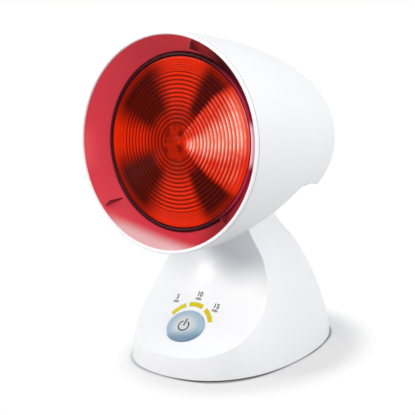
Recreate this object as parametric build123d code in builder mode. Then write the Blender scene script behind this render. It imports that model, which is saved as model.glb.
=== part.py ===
from build123d import *
import os
from math import cos, degrees, radians, sin, sqrt

# A table-top infrared lamp: a bell-shaped head that tilts on a leaning base with a timer.
#
# Millimetres, +Z up. The lamp faces -Y, the tilt axle runs along X, and the origin lies on the
# table under the middle of the lamp's overall box. The head's own pieces are placed by their
# depth: the distance behind the plane of its front rim, along the head's axis.

# ---------------------------------------------------------------- driving dimensions
# Tilt axle and the head's place on it
PIVOT_Y = 2.2
PIVOT_Z = 104.0
HEAD_PITCH = 6.3            # the head looks up by this much at rest
RIM_AHEAD = 101.6           # rim plane in front of the axle, along the head's axis
AXLE_INSIDE = 15.3          # axle inside the bell's largest radius

# Head bell: r = R (1 - taper t) (1 - t^front)^(1/round), with t the depth over the length
HEAD_RADIUS = 82.7
BULB_REAR_ROOM = 38.8       # from the bulb's tip to the bell's rear pole
BELL_TAPER = 0.012
BELL_FRONT = 1.66
BELL_ROUND = 3.155
BELL_SECTIONS = 9
HEAD_WALL = 2.2
GRILLE_RADIUS = 36.0
GRILLE_SLOT = 3.0
GRILLE_PITCH = 6.5
GRILLE_BORDER = 5.0

# Saddle recess in the head's underside, in which the neck stands
SADDLE_RADIUS = 39.5        # round the axle
SADDLE_FRONT_SLOPE = 29.8   # front leg rises rearward
SADDLE_REAR_SLOPE = 15.0    # rear leg falls rearward
SADDLE_END_ROOM = 15.9      # from the rear end wall to the bell's rear pole
SADDLE_CORNER = 13.4
SADDLE_WALL = 2.5
SADDLE_DROP = 60.0          # how far the cutter reaches below the axle

# Front ring: lip, funnel, collar and the skirt that plugs into the bell
LIP_THICKNESS = 2.5
LIP_WIDTH = 2.7
LIP_ROUND = 0.6
RIM_SEAM = 0.3
FUNNEL_START = 0.8
FUNNEL_DEPTH = 19.0
FUNNEL_STEP = 12.0          # how much narrower the funnel's foot is than the lip
FUNNEL_WALL = 2.0
COLLAR_LENGTH = 7.0
SKIRT_END = 10.0
SKIRT_WALL = 1.8
RIB_THICKNESS = 1.2
RIB_SETBACK = 1.7           # the ribs' front edge behind the funnel's front
RIB_STEP = 4.2              # the ribs' front corner outside the funnel's foot
RIB_END_ROOM = 0.5
RIB_ANGLES = (12.0, 132.5, -134.5)      # clockwise from the top, seen from the front

# Bulb: a pressed-glass reflector bulb with a 27 mm screw cap
BULB_DEPTH = 15.8           # lens front behind the rim plane
BULB_LENGTH = 134.0
LENS_GAP = 3.5              # air all round the lens, inside the collar
LENS_THICKNESS = 5.0
LENS_BULGE = 2.0
LENS_EDGE = 1.0
LENS_BOSS_RADIUS = 13.5
LENS_RIDGES = 9             # broad rings round the boss
LENS_RIDGE_PITCH = 3.68
LENS_RIDGE_HEIGHT = 0.9
LENS_FINE_PITCH = 1.84      # fine rings outside them
LENS_FINE_HEIGHT = 0.5
REFLECTOR_VERTEX = 73.0     # behind the lens front
REFLECTOR_STEP = 2.0        # the bowl's mouth is this much smaller than the lens
BULB_GLASS = 2.0
BOWL_POINTS = 6
BULB_NECK_RADIUS = 17.5
BULB_NECK_TAPER = 8.0       # length over which the neck narrows to the cap
CAP_LENGTH = 31.0
CAP_RADIUS = 13.3
CAP_COLLAR = 3.0
CAP_TIP_LENGTH = 2.5
CAP_TIP_RADIUS = 4.8
THREAD_PITCH = 3.62
THREAD_DEPTH = 0.9
THREAD_TURNS = 6
FILAMENT_DEPTH = 48.0
FILAMENT_WIDTH = 16.0
FILAMENT_RADIUS = 1.4
FILAMENT_WIRE = 1.2
STEM_RADIUS = 4.0
STEM_FLARE = 1.5
STEM_CLEARANCE = 24.0       # from the coil to the glass stem
LEAD_LENGTH = 13.0          # from the coil back to the cross wire

# Lamp holder
HOLDER_CUP = 29.0           # how far the holder reaches over the cap
HOLDER_RADIUS = 21.0
HOLDER_FLOOR = 5.5
HOLDER_SPRING_ROOM = 2.5
HOLDER_ROUND = 1.5
HOLDER_SHELL_WALL = 0.8
HOLDER_SHELL_SETBACK = 2.0
HOLDER_THREAD_LENGTH = 4.0
BRACKET_THICKNESS = 2.5
BRACKET_WIDTH = 14.0
BRACKET_EDGE_ROOM = 1.8     # from the bracket's ends to the bell
BRACKET_SCREW_INSET = 4.0
HOLDER_SCREW_X = 10.0
HEAD_BOSS_RADIUS = 4.0

# Base: superellipse sections that shrink with height and lean forward
BASE_HALF_WIDTH = 67.1
BASE_REAR = 106.9
BASE_FRONT = 89.1
BASE_CENTRE_Y = -6.8
BASE_LEAN = 0.0482          # forward per height
BASE_SQUARENESS = 2.24
BASE_SHOULDER_ABOVE = 14.5  # above the axle, where the body's curve would close
BASE_SHOULDER_RISE = 1.421
BASE_SHOULDER_ROUND = 2.182
NECK_SHARE = 0.436          # neck section over foot section
BASE_WALL = 2.5
BASE_BOTTOM = 1.5
NECK_RADIUS = 37.5          # rounded top of the neck, round the axle
NECK_ROUND_FROM = 6.0       # above the axle
NECK_SLIT_HALF = 7.0
NECK_SPARE = 8.5            # form above the neck's rounded top, cut away by it
BASE_SECTIONS = 10
OUTLINE_POINTS = 28
NECK_MEETING = 6  # power that rounds the body into the neck

# Scoop of the front panel: an arc turned about an upright axis behind the panel
SCOOP_AXIS_Y = 78.5
SCOOP_FACE_Y = -29.3        # the arc's rearmost point
SCOOP_ABOVE = 5.2           # that point above the axle
SCOOP_RADIUS = 97.8

# Button and windows on the panel
BUTTON_Z = 32.3
BUTTON_HALF_WIDTH = 16.0
BUTTON_HALF_HEIGHT = 14.8
BUTTON_CROWN = 3.2
BUTTON_DOME_RADIUS = 75.0
BUTTON_DEPTH = 6.0
BUTTON_FLANGE = 1.5
BUTTON_FLANGE_THICKNESS = 1.2
BUTTON_EDGE = 0.8
BUTTON_TRAVEL = 0.8
BUTTON_STEM_RADIUS = 2.2
WINDOW_RADIUS = 20.5
WINDOW_WIDTH = 3.8
WINDOW_PITCH = 45.2
WINDOW_HALF_ANGLE = 18.3
WINDOW_DEPTH = 2.5

# Control board, parallel to the panel behind the button
BOARD_DEPTH = 16.0
BOARD_THICKNESS = 1.6
BOARD_HALF_WIDTH = 34.0
BOARD_LOW = -14.0
BOARD_HIGH = 36.0
BOARD_SCREW_INSET = 5.0
BOARD_BOSS_RADIUS = 3.5
BOARD_CORNER = 3.0
SWITCH_SIZE = 6.2
SWITCH_HEIGHT = 3.5
PLUNGER_HEIGHT = 1.0
PLUNGER_RADIUS = 1.7
LED_RADIUS = 2.5
LED_HEIGHT = 11.5
LED_ROUND = 1.5
RELAY_SIZE = (19.0, 15.5, 15.0)
RELAY_PLACE = (-20.0, 20.0)
FILM_SIZE = (18.0, 8.0, 14.0)
FILM_PLACE = (19.0, 24.0)
CHIP_SIZE = (9.6, 6.4, 3.5)
CHIP_PLACE = (-16.0, 1.0)
TERMINAL_SIZE = (15.0, 9.0, 11.0)
TERMINAL_PLACE = (19.0, 4.0)
TERMINAL_PITCH = 5.0
TERMINAL_POLES = 3
TERMINAL_BORE = 1.6
TERMINAL_BORE_DEPTH = 3.0
CAN_RADIUS = 5.0
CAN_LENGTH = 16.0
CAN_ROUND = 0.8
CAN_PLACE = (0.0, 26.0)

# Base plate, feet and screws
PLATE_THICKNESS = 2.5
FOOT_HEIGHT = 1.6
FOOT_RADIUS = 7.0
FOOT_CHAMFER = 0.5
FOOT_PLACES = ((-44.0, -62.0), (44.0, -62.0), (-38.0, 66.0), (38.0, 66.0))
BASE_SCREW_PLACES = ((-44.0, -38.0), (44.0, -38.0), (-44.0, 44.0), (44.0, 44.0))
PILLAR_RADIUS = 4.5
VENT_SLOT_LENGTH = 34.0
VENT_SLOT_WIDTH = 3.0
VENT_SLOT_PITCH = 8.0
VENT_SLOTS = 5
VENT_CENTRE_Y = 10.0

# Cord gland in the back of the base
GLAND_Z = 15.0
GLAND_BORE = 3.4
GLAND_WALL = 2.0
GLAND_FLANGE_RADIUS = 7.0
GLAND_FLANGE_THICKNESS = 1.5
GLAND_END_Y = 100.0
GLAND_COLLAR_RADIUS = 8.5
GLAND_LENGTH = 14.0
GLAND_ROUND = 0.8

# Hinge in the neck
AXLE_RADIUS = 4.0
TONGUE_HALF_WIDTH = 6.0
TONGUE_HUB_RADIUS = 11.0
TONGUE_ANGLE = 105.0        # from straight back, round the axle
TONGUE_ARM = 18.8
TONGUE_FLANGE_THICKNESS = 2.5
TONGUE_FLANGE_HALF_WIDTH = 16.0
TONGUE_FLANGE_FROM = 80.0
TONGUE_FLANGE_TO = 119.5
TONGUE_SCREW_X = 11.0
TONGUE_SCREW_ANGLES = (86.0, 113.0)
TONGUE_SLOT_HALF_ANGLE = 14.6
SLIT_FROM = 57.0
SLIT_TO = 133.0
WASHER_THICKNESS = 1.5
WASHER_RADIUS = 11.0
DETENT_POSITIONS = 5
DETENT_STEP = 10.0
DETENT_RADIUS = 0.6
DETENT_RING_AT = 8.8
CHEEK_THICKNESS = 2.5
CHEEK_HALF_WIDTH = 12.0
CRADLE_DROP = 26.5          # underside of the cradle below the axle
CRADLE_THICKNESS = 2.5
CRADLE_HALF_LENGTH = 34.0
CRADLE_HALF_WIDTH = 14.0
CRADLE_CORNER = 4.0
CRADLE_BOSS_X = 29.0
CRADLE_BOSS_Y = 8.0
AXLE_HEAD = 3.0
AXLE_HEAD_STEP = 3.0
AXLE_OVERHANG = 1.5
AXLE_CHAMFER = 0.6
NUT_THICKNESS = 5.0
NUT_ACROSS = 13.0

# Screws
SCREW_RADIUS = 1.45
SCREW_HEAD_RADIUS = 3.0
SCREW_HEAD_HEIGHT = 1.6
SCREW_END_ROOM = 0.5        # left below a screw in its blind hole
LONG_THREAD = 9.5           # engagement in the base's pillars
THREAD = 6.0                # engagement in bosses
HOLDER_THREAD = 3.8
SHEET_THREAD = 1.8

# Clearances
RUNNING_FIT = 0.05          # bores on their shafts and screws, faces that seat
SEAT_GAP = 0.05
EDGE_GAP = 0.3              # round covers, windows and the button
SIDE_PLAY = 0.2             # beside the hub of the tongue

# ---------------------------------------------------------------- sizes that follow from these
AXIS_ABOVE = HEAD_RADIUS - AXLE_INSIDE      # head's axis above the axle, square to it
BULB_END = BULB_DEPTH + BULB_LENGTH
HEAD_LENGTH = BULB_END + BULB_REAR_ROOM
SADDLE_REAR = HEAD_LENGTH - RIM_AHEAD - SADDLE_END_ROOM     # rear end wall behind the axle
LIP_INNER = HEAD_RADIUS - LIP_WIDTH
FUNNEL_END_RADIUS = LIP_INNER - FUNNEL_STEP
LENS_RADIUS = FUNNEL_END_RADIUS - LENS_GAP
REFLECTOR_OPENING = (LENS_RADIUS - REFLECTOR_STEP) ** 2 / (REFLECTOR_VERTEX - LENS_THICKNESS)
CAP_START = BULB_END - CAP_LENGTH
BULB_NECK_END = CAP_START - BULB_NECK_TAPER
HOLDER_START = BULB_END - HOLDER_CUP
HOLDER_POCKET = BULB_END + HOLDER_SPRING_ROOM
BRACKET_DEPTH = HOLDER_POCKET + HOLDER_FLOOR
HEAD_BOSS_DEPTH = BRACKET_DEPTH + BRACKET_THICKNESS
BASE_SHOULDER = PIVOT_Z + BASE_SHOULDER_ABOVE
NECK_TOP = PIVOT_Z + NECK_RADIUS + NECK_SPARE
SCOOP_CENTRE_Y = SCOOP_FACE_Y - SCOOP_RADIUS
SCOOP_CENTRE_Z = PIVOT_Z + SCOOP_ABOVE
CRADLE_Z = PIVOT_Z - CRADLE_DROP
CRADLE_TOP = CRADLE_Z + CRADLE_THICKNESS
PLATE_TOP = FOOT_HEIGHT + PLATE_THICKNESS
SCREW_BORE = SCREW_RADIUS + RUNNING_FIT

# ---------------------------------------------------------------- planes and axes
REARWARD = Vector(0, cos(radians(HEAD_PITCH)), -sin(radians(HEAD_PITCH)))
UPWARD = Vector(0, sin(radians(HEAD_PITCH)), cos(radians(HEAD_PITCH)))
PIVOT = Vector(0, PIVOT_Y, PIVOT_Z)
RIM_CENTRE = PIVOT - REARWARD * RIM_AHEAD + UPWARD * AXIS_ABOVE
HEAD_AXIS = Axis(RIM_CENTRE, REARWARD)
HEAD_SECTION = Plane(origin=RIM_CENTRE, x_dir=REARWARD, z_dir=(1, 0, 0))    # (depth, radius)
PIVOT_SIDE = Plane(origin=PIVOT, x_dir=(0, 1, 0), z_dir=(1, 0, 0))          # (rearward, up)

BUTTON_REACH = sqrt(SCOOP_RADIUS**2 - (SCOOP_CENTRE_Z - BUTTON_Z)**2)
BUTTON_POINT = Vector(0, SCOOP_CENTRE_Y + BUTTON_REACH, BUTTON_Z)
PANEL_NORMAL = (Vector(0, SCOOP_CENTRE_Y, SCOOP_CENTRE_Z) - BUTTON_POINT).normalized()


def across_head(depth):
    """Plane square to the head's axis at a depth, facing forward, its y up."""
    return Plane(origin=RIM_CENTRE + REARWARD * depth, x_dir=(1, 0, 0), z_dir=-REARWARD)


def along_axle(x):
    """Plane square to the tilt axle, facing +X, its x rearward."""
    return Plane(origin=PIVOT + Vector(x, 0, 0), x_dir=(0, 1, 0), z_dir=(1, 0, 0))


def panel(height):
    """Plane above the panel at the button, facing outward, its y up the panel."""
    return Plane(origin=BUTTON_POINT + PANEL_NORMAL * height, x_dir=(1, 0, 0), z_dir=PANEL_NORMAL)


def saddle_radial(angle, radius):
    """Plane facing away from the axle at an angle from straight back, its x along the axle."""
    outward = Vector(0, cos(radians(angle)), sin(radians(angle)))
    return Plane(origin=PIVOT + outward * radius, x_dir=(1, 0, 0), z_dir=outward)


# ---------------------------------------------------------------- shapes used more than once
def sector(plane, inner, outer, start, end):
    """Piece of a flat ring between two angles."""
    with BuildSketch(plane) as piece:
        with BuildLine():
            near = CenterArc((0, 0), inner, start, end - start)
            far = CenterArc((0, 0), outer, start, end - start)
            Line(near @ 0, far @ 0)
            Line(near @ 1, far @ 1)
        make_face()
    return piece.sketch


def bell_radius(depth, inset=0.0):
    """Radius of the bell, shrunk by an inset, at a depth."""
    t = depth / (HEAD_LENGTH - inset)
    return (HEAD_RADIUS - inset) * (1 - BELL_TAPER * t) * (1 - t**BELL_FRONT) ** (1 / BELL_ROUND)


def bell_depth(radius, inset=0.0):
    """Depth at which the bell narrows to a radius, or slightly ahead of it."""
    share = radius / ((HEAD_RADIUS - inset) * (1 - BELL_TAPER))
    return (HEAD_LENGTH - inset) * (1 - share**BELL_ROUND) ** (1 / BELL_FRONT)


def bell(inset, start):
    """Solid bell, shrunk by an inset, from a start depth to its rear pole."""
    length = HEAD_LENGTH - inset
    count = BELL_SECTIONS
    depths = [start + (length - start) * (1 - (1 - i / count) ** 2) for i in range(count + 1)]
    with BuildPart() as solid:
        with BuildSketch(HEAD_SECTION):
            with BuildLine():
                curve = Spline(
                    *[(depth, bell_radius(depth, inset)) for depth in depths[:-1]],
                    (length, 0),
                    tangents=((1, 0), (0, -1)),
                )
                Polyline(curve @ 1, (start, 0), curve @ 0)
            make_face()
        revolve(axis=HEAD_AXIS)
    return solid.part


def saddle(outset):
    """Everything under the saddle's arch, grown by an outset, right across the head."""
    reach = SADDLE_RADIUS + outset
    rear = SADDLE_REAR + outset
    front_angle = radians(90 + SADDLE_FRONT_SLOPE)
    rear_angle = radians(90 - SADDLE_REAR_SLOPE)
    middle = (front_angle + rear_angle) / 2
    apex = reach / cos((front_angle - rear_angle) / 2)
    foot_x = (reach - sin(front_angle) * -SADDLE_DROP) / cos(front_angle)
    corner_y = (reach - cos(rear_angle) * rear) / sin(rear_angle)
    with BuildPart() as solid:
        with BuildSketch(PIVOT_SIDE):
            with BuildLine():
                Polyline(
                    (foot_x, -SADDLE_DROP),
                    (apex * cos(middle), apex * sin(middle)),
                    (rear, corner_y),
                    (rear, -SADDLE_DROP),
                    close=True,
                )
            arch = make_face()
            corners = arch.vertices().sort_by(Axis.Y)
            fillet(corners[-1], reach)
            fillet(corners[-2], SADDLE_CORNER + outset)
        extrude(amount=HEAD_RADIUS + HEAD_WALL, both=True)
    return solid.part


def base_scale(height):
    """Size of the base's section at a height over its size at the foot."""
    rise = max(0.0, 1 - (height / BASE_SHOULDER) ** BASE_SHOULDER_RISE)
    body = rise ** (1 / BASE_SHOULDER_ROUND)
    return (body**NECK_MEETING + NECK_SHARE**NECK_MEETING) ** (1 / NECK_MEETING)


def base_outline(height, inset):
    """Closed superellipse at a height: a shorter half in front, a longer half behind."""
    scale = base_scale(height)
    centre = BASE_CENTRE_Y - BASE_LEAN * height
    power = 2 / BASE_SQUARENESS
    ring = []
    for i in range(OUTLINE_POINTS):
        angle = radians(360 * (i + 0.5) / OUTLINE_POINTS)
        across = cos(angle)
        back = sin(angle)
        length = (BASE_REAR if back > 0 else BASE_FRONT) * scale - inset
        width = BASE_HALF_WIDTH * scale - inset
        x = width * abs(across) ** power * (1 if across > 0 else -1)
        y = length * abs(back) ** power * (1 if back > 0 else -1)
        ring.append((x, centre + y))
    return ring


def base_form(inset, bottom):
    """Solid base body, shrunk by an inset, before the scoop and the neck's rounding."""
    with BuildPart() as solid:
        for i in range(BASE_SECTIONS + 1):
            height = bottom + (NECK_TOP - bottom) * i / BASE_SECTIONS
            with BuildSketch(Plane.XY.offset(height)):
                with BuildLine():
                    Spline(*base_outline(height, inset), periodic=True)
                make_face()
        loft()
    return solid.part


def base_solid(inset, bottom):
    """Base body with its scoop and rounded neck, shrunk by an inset."""
    form = base_form(inset, bottom)
    with BuildPart() as solid:
        add(form)
        with BuildSketch(Plane.YZ):
            with Locations((SCOOP_CENTRE_Y, SCOOP_CENTRE_Z)):
                Circle(SCOOP_RADIUS + inset)
        revolve(axis=Axis((0, SCOOP_AXIS_Y, 0), (0, 0, 1)), mode=Mode.SUBTRACT)
        with BuildSketch(PIVOT_SIDE):
            with Locations((0, NECK_ROUND_FROM)):
                Rectangle(3 * NECK_RADIUS, 2 * NECK_RADIUS, align=(Align.CENTER, Align.MIN))
            Circle(NECK_RADIUS - inset, mode=Mode.SUBTRACT)
        extrude(amount=BASE_HALF_WIDTH, both=True, mode=Mode.SUBTRACT)
    return solid.part


def screws(planes, length):
    """Pan-head screws: the head stands on each plane, the shank runs down from it."""
    with BuildPart() as group:
        for plane in planes:
            with BuildSketch(plane):
                Circle(SCREW_HEAD_RADIUS)
            extrude(amount=SCREW_HEAD_HEIGHT)
            with BuildSketch(plane):
                Circle(SCREW_RADIUS)
            extrude(amount=-length)
    return group.part


def finish(part, name):
    """Names a piece and writes its STEP file."""
    part.label = name
    export_step(part, f"parts/{name}.step")


SHELL_START = LIP_THICKNESS + RIM_SEAM
BELL_OUTER = bell(0, SHELL_START)
BELL_INNER = bell(HEAD_WALL, 0)
SADDLE_CUT = saddle(0)
SADDLE_ROOM = saddle(SADDLE_WALL)
BASE_OUTER = base_solid(0, BASE_BOTTOM)
BASE_INNER = base_solid(BASE_WALL, 0)

WINDOW_ANGLES = {"15": 90 - WINDOW_PITCH, "10": 90, "5": 90 + WINDOW_PITCH}
BRACKET_HALF_LENGTH = bell_radius(HEAD_BOSS_DEPTH, HEAD_WALL) - BRACKET_EDGE_ROOM
BRACKET_SCREW_X = BRACKET_HALF_LENGTH - BRACKET_SCREW_INSET
GRILLE_REACH = HEAD_LENGTH - bell_depth(GRILLE_RADIUS, HEAD_WALL) + EDGE_GAP
SWITCH_TOP = SWITCH_HEIGHT + PLUNGER_HEIGHT
STEM_END = BOARD_DEPTH - SWITCH_TOP - BUTTON_TRAVEL - 2 * SEAT_GAP
WASHER_AT = TONGUE_HALF_WIDTH + SIDE_PLAY
CHEEK_AT = WASHER_AT + 2 * WASHER_THICKNESS
CHEEK_END = CHEEK_AT + CHEEK_THICKNESS
BOARD_SCREW_PLACES = [
    (x, y)
    for x in (BOARD_SCREW_INSET - BOARD_HALF_WIDTH, BOARD_HALF_WIDTH - BOARD_SCREW_INSET)
    for y in (BOARD_LOW + BOARD_SCREW_INSET, BOARD_HIGH - BOARD_SCREW_INSET)
]
CRADLE_SCREW_PLACES = [
    (x, PIVOT_Y + y)
    for x in (-CRADLE_BOSS_X, CRADLE_BOSS_X)
    for y in (-CRADLE_BOSS_Y, CRADLE_BOSS_Y)
]

# ---------------------------------------------------------------- head
with BuildPart() as head_bosses:
    with BuildSketch(across_head(HEAD_LENGTH)):
        with Locations((-BRACKET_SCREW_X, 0), (BRACKET_SCREW_X, 0)):
            Circle(HEAD_BOSS_RADIUS)
    extrude(amount=HEAD_LENGTH - HEAD_BOSS_DEPTH)
    add(BELL_OUTER, mode=Mode.INTERSECT)

with BuildPart() as head_room:
    add(BELL_INNER)
    add(SADDLE_ROOM, mode=Mode.SUBTRACT)

with BuildPart() as head_shell:
    add(BELL_OUTER)
    add(SADDLE_CUT, mode=Mode.SUBTRACT)
    add(head_room.part, mode=Mode.SUBTRACT)
    add(head_bosses.part)
    with BuildSketch(across_head(HEAD_LENGTH + HEAD_WALL)):
        Circle(GRILLE_RADIUS)
    extrude(amount=HEAD_WALL + GRILLE_REACH, mode=Mode.SUBTRACT)
    with BuildSketch(across_head(HEAD_BOSS_DEPTH)):
        with Locations((-BRACKET_SCREW_X, 0), (BRACKET_SCREW_X, 0)):
            Circle(SCREW_BORE)
    extrude(amount=-THREAD - SCREW_END_ROOM, mode=Mode.SUBTRACT)
    tongue_slot = sector(
        PIVOT_SIDE,
        SADDLE_RADIUS - SADDLE_WALL,
        SADDLE_RADIUS + 2 * SADDLE_WALL,
        TONGUE_ANGLE - TONGUE_SLOT_HALF_ANGLE,
        TONGUE_ANGLE + TONGUE_SLOT_HALF_ANGLE,
    )
    extrude(tongue_slot, amount=TONGUE_HALF_WIDTH + EDGE_GAP, both=True, mode=Mode.SUBTRACT)
    for angle in TONGUE_SCREW_ANGLES:
        for side in (-1, 1):
            with BuildSketch(saddle_radial(angle, SADDLE_RADIUS + 2 * SADDLE_WALL)):
                with Locations((side * TONGUE_SCREW_X, 0)):
                    Circle(SCREW_BORE)
            extrude(amount=-SADDLE_WALL - SHEET_THREAD - 2 * SEAT_GAP, mode=Mode.SUBTRACT)
finish(head_shell.part, "head_shell")

with BuildPart() as rear_grille:
    add(bell(0, HEAD_LENGTH - 2 * GRILLE_REACH))
    add(BELL_INNER, mode=Mode.SUBTRACT)
    with BuildSketch(across_head(HEAD_LENGTH + HEAD_WALL)):
        Circle(GRILLE_RADIUS - EDGE_GAP)
    extrude(amount=HEAD_WALL + GRILLE_REACH, mode=Mode.INTERSECT)
    slot_count = int((GRILLE_RADIUS - GRILLE_BORDER) / GRILLE_PITCH)
    for i in range(-slot_count, slot_count + 1):
        height = i * GRILLE_PITCH
        half_length = sqrt((GRILLE_RADIUS - GRILLE_BORDER) ** 2 - height**2)
        with BuildSketch(across_head(HEAD_LENGTH + HEAD_WALL)):
            with Locations((0, height)):
                SlotOverall(2 * half_length, GRILLE_SLOT)
        extrude(amount=HEAD_WALL + GRILLE_REACH, mode=Mode.SUBTRACT)
finish(rear_grille.part, "rear_grille")

SKIRT_RADIUS = bell_radius(SKIRT_END, HEAD_WALL) - EDGE_GAP / 2
FUNNEL_SLOPE = (LIP_INNER - FUNNEL_END_RADIUS) / (FUNNEL_DEPTH - FUNNEL_START)
FUNNEL_BACK = FUNNEL_WALL * sqrt(1 + FUNNEL_SLOPE**2)
RIB_START = FUNNEL_START + RIB_SETBACK
RIB_END = FUNNEL_DEPTH - RIB_END_ROOM

with BuildPart() as front_ring:
    with BuildSketch(HEAD_SECTION):
        with BuildLine():
            skirt_inner = SKIRT_RADIUS - SKIRT_WALL
            collar_outer = FUNNEL_END_RADIUS + FUNNEL_WALL
            Polyline(
                (FUNNEL_START, LIP_INNER),
                (FUNNEL_DEPTH, FUNNEL_END_RADIUS),
                (FUNNEL_DEPTH + COLLAR_LENGTH, FUNNEL_END_RADIUS),
                (FUNNEL_DEPTH + COLLAR_LENGTH, collar_outer),
                (FUNNEL_START + (LIP_INNER + FUNNEL_BACK - collar_outer) / FUNNEL_SLOPE, collar_outer),
                (FUNNEL_START + (LIP_INNER + FUNNEL_BACK - skirt_inner) / FUNNEL_SLOPE, skirt_inner),
                (SKIRT_END, skirt_inner),
                (SKIRT_END, SKIRT_RADIUS),
                (LIP_THICKNESS, SKIRT_RADIUS),
                (LIP_THICKNESS, HEAD_RADIUS),
                (LIP_ROUND, HEAD_RADIUS),
                (0, HEAD_RADIUS - LIP_ROUND),
                (0, LIP_INNER + LIP_ROUND),
                (FUNNEL_START, LIP_INNER),
            )
        make_face()
    revolve(axis=HEAD_AXIS)
    for angle in RIB_ANGLES:
        outward = UPWARD * cos(radians(angle)) + Vector(sin(radians(angle)), 0, 0)
        with BuildSketch(Plane(origin=RIM_CENTRE, x_dir=REARWARD, z_dir=REARWARD.cross(outward))):
            with BuildLine():
                Polyline(
                    (RIB_START, FUNNEL_END_RADIUS + RIB_STEP),
                    (RIB_START, LIP_INNER - RIB_SETBACK * FUNNEL_SLOPE + FUNNEL_WALL / 2),
                    (RIB_END, FUNNEL_END_RADIUS + RIB_END_ROOM * FUNNEL_SLOPE + FUNNEL_WALL / 2),
                    close=True,
                )
            make_face()
        extrude(amount=RIB_THICKNESS / 2, both=True)
finish(front_ring.part, "front_ring")

# ---------------------------------------------------------------- hinge tongue
with BuildPart() as hinge_tongue:
    with BuildSketch(PIVOT_SIDE):
        Circle(TONGUE_HUB_RADIUS)
        Rectangle(
            SADDLE_RADIUS + SADDLE_WALL + TONGUE_FLANGE_THICKNESS / 2,
            TONGUE_ARM,
            rotation=TONGUE_ANGLE,
            align=(Align.MIN, Align.CENTER),
        )
    extrude(amount=TONGUE_HALF_WIDTH, both=True)
    flange_foot = SADDLE_RADIUS + SADDLE_WALL + SEAT_GAP
    flange = sector(
        PIVOT_SIDE,
        flange_foot,
        flange_foot + TONGUE_FLANGE_THICKNESS,
        TONGUE_FLANGE_FROM,
        TONGUE_FLANGE_TO,
    )
    extrude(flange, amount=TONGUE_FLANGE_HALF_WIDTH, both=True)
    with BuildSketch(PIVOT_SIDE):
        Circle(AXLE_RADIUS + RUNNING_FIT)
    extrude(amount=TONGUE_HALF_WIDTH, both=True, mode=Mode.SUBTRACT)
    for angle in TONGUE_SCREW_ANGLES:
        with BuildSketch(saddle_radial(angle, SADDLE_RADIUS)):
            with Locations((-TONGUE_SCREW_X, 0), (TONGUE_SCREW_X, 0)):
                Circle(SCREW_BORE)
        extrude(amount=3 * SADDLE_WALL, mode=Mode.SUBTRACT)
finish(hinge_tongue.part, "hinge_tongue")

TONGUE_SCREW_SEAT = SADDLE_RADIUS + SADDLE_WALL + SEAT_GAP + TONGUE_FLANGE_THICKNESS + SEAT_GAP
tongue_screw_planes = []
for angle in TONGUE_SCREW_ANGLES:
    for side in (-1, 1):
        seat = saddle_radial(angle, TONGUE_SCREW_SEAT)
        tongue_screw_planes.append(seat.offset(0).move(Location((side * TONGUE_SCREW_X, 0, 0))))
finish(screws(tongue_screw_planes, TONGUE_FLANGE_THICKNESS + SHEET_THREAD), "tongue_screws")

# ---------------------------------------------------------------- lamp holder
HOLDER_SHELL_INNER = CAP_RADIUS + EDGE_GAP
HOLDER_SHELL_OUTER = HOLDER_SHELL_INNER + HOLDER_SHELL_WALL

with BuildPart() as lamp_holder:
    with BuildSketch(across_head(BRACKET_DEPTH)):
        Circle(HOLDER_RADIUS)
    extrude(amount=BRACKET_DEPTH - HOLDER_START)
    fillet(lamp_holder.edges().filter_by(GeomType.CIRCLE), HOLDER_ROUND)
    with BuildSketch(across_head(HOLDER_POCKET)):
        Circle(HOLDER_SHELL_OUTER + SEAT_GAP)
    extrude(amount=HOLDER_POCKET - HOLDER_START, mode=Mode.SUBTRACT)
    with BuildSketch(across_head(BRACKET_DEPTH)):
        with Locations((-HOLDER_SCREW_X, 0), (HOLDER_SCREW_X, 0)):
            Circle(SCREW_BORE)
    extrude(amount=HOLDER_THREAD_LENGTH, mode=Mode.SUBTRACT)
finish(lamp_holder.part, "lamp_holder")

with BuildPart() as holder_shell:
    with BuildSketch(across_head(HOLDER_POCKET - SEAT_GAP)):
        Circle(HOLDER_SHELL_OUTER)
        Circle(HOLDER_SHELL_INNER, mode=Mode.SUBTRACT)
    extrude(amount=HOLDER_POCKET - SEAT_GAP - HOLDER_START - HOLDER_SHELL_SETBACK)
finish(holder_shell.part, "holder_shell")

with BuildPart() as holder_contact:
    with BuildSketch(across_head(HOLDER_POCKET)):
        Circle(CAP_TIP_RADIUS)
    extrude(amount=HOLDER_POCKET - BULB_END - EDGE_GAP)
finish(holder_contact.part, "holder_contact")

with BuildPart() as holder_bracket:
    with BuildSketch(across_head(HEAD_BOSS_DEPTH)):
        SlotOverall(2 * BRACKET_HALF_LENGTH, BRACKET_WIDTH)
        Circle(HOLDER_RADIUS - 2 * HOLDER_ROUND)
        with Locations((-BRACKET_SCREW_X, 0), (BRACKET_SCREW_X, 0)):
            Circle(SCREW_BORE, mode=Mode.SUBTRACT)
        with Locations((-HOLDER_SCREW_X, 0), (HOLDER_SCREW_X, 0)):
            Circle(SCREW_BORE, mode=Mode.SUBTRACT)
    extrude(amount=BRACKET_THICKNESS)
finish(holder_bracket.part, "holder_bracket")

bracket_screw_planes = [
    across_head(BRACKET_DEPTH).move(Location((side * BRACKET_SCREW_X, 0, 0))) for side in (-1, 1)
]
finish(screws(bracket_screw_planes, BRACKET_THICKNESS + THREAD), "bracket_screws")

holder_screw_planes = [
    Plane(
        origin=RIM_CENTRE + REARWARD * HEAD_BOSS_DEPTH + Vector(side * HOLDER_SCREW_X, 0, 0),
        x_dir=(1, 0, 0),
        z_dir=REARWARD,
    )
    for side in (-1, 1)
]
finish(screws(holder_screw_planes, BRACKET_THICKNESS + HOLDER_THREAD), "holder_screws")

# ---------------------------------------------------------------- bulb
LENS_BACK = BULB_DEPTH + LENS_THICKNESS
LENS_CURVE = LENS_RADIUS**2 / LENS_BULGE


def lens_front(radius):
    """Depth of the lens's front surface at a radius."""
    return BULB_DEPTH + radius**2 / LENS_CURVE


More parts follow.
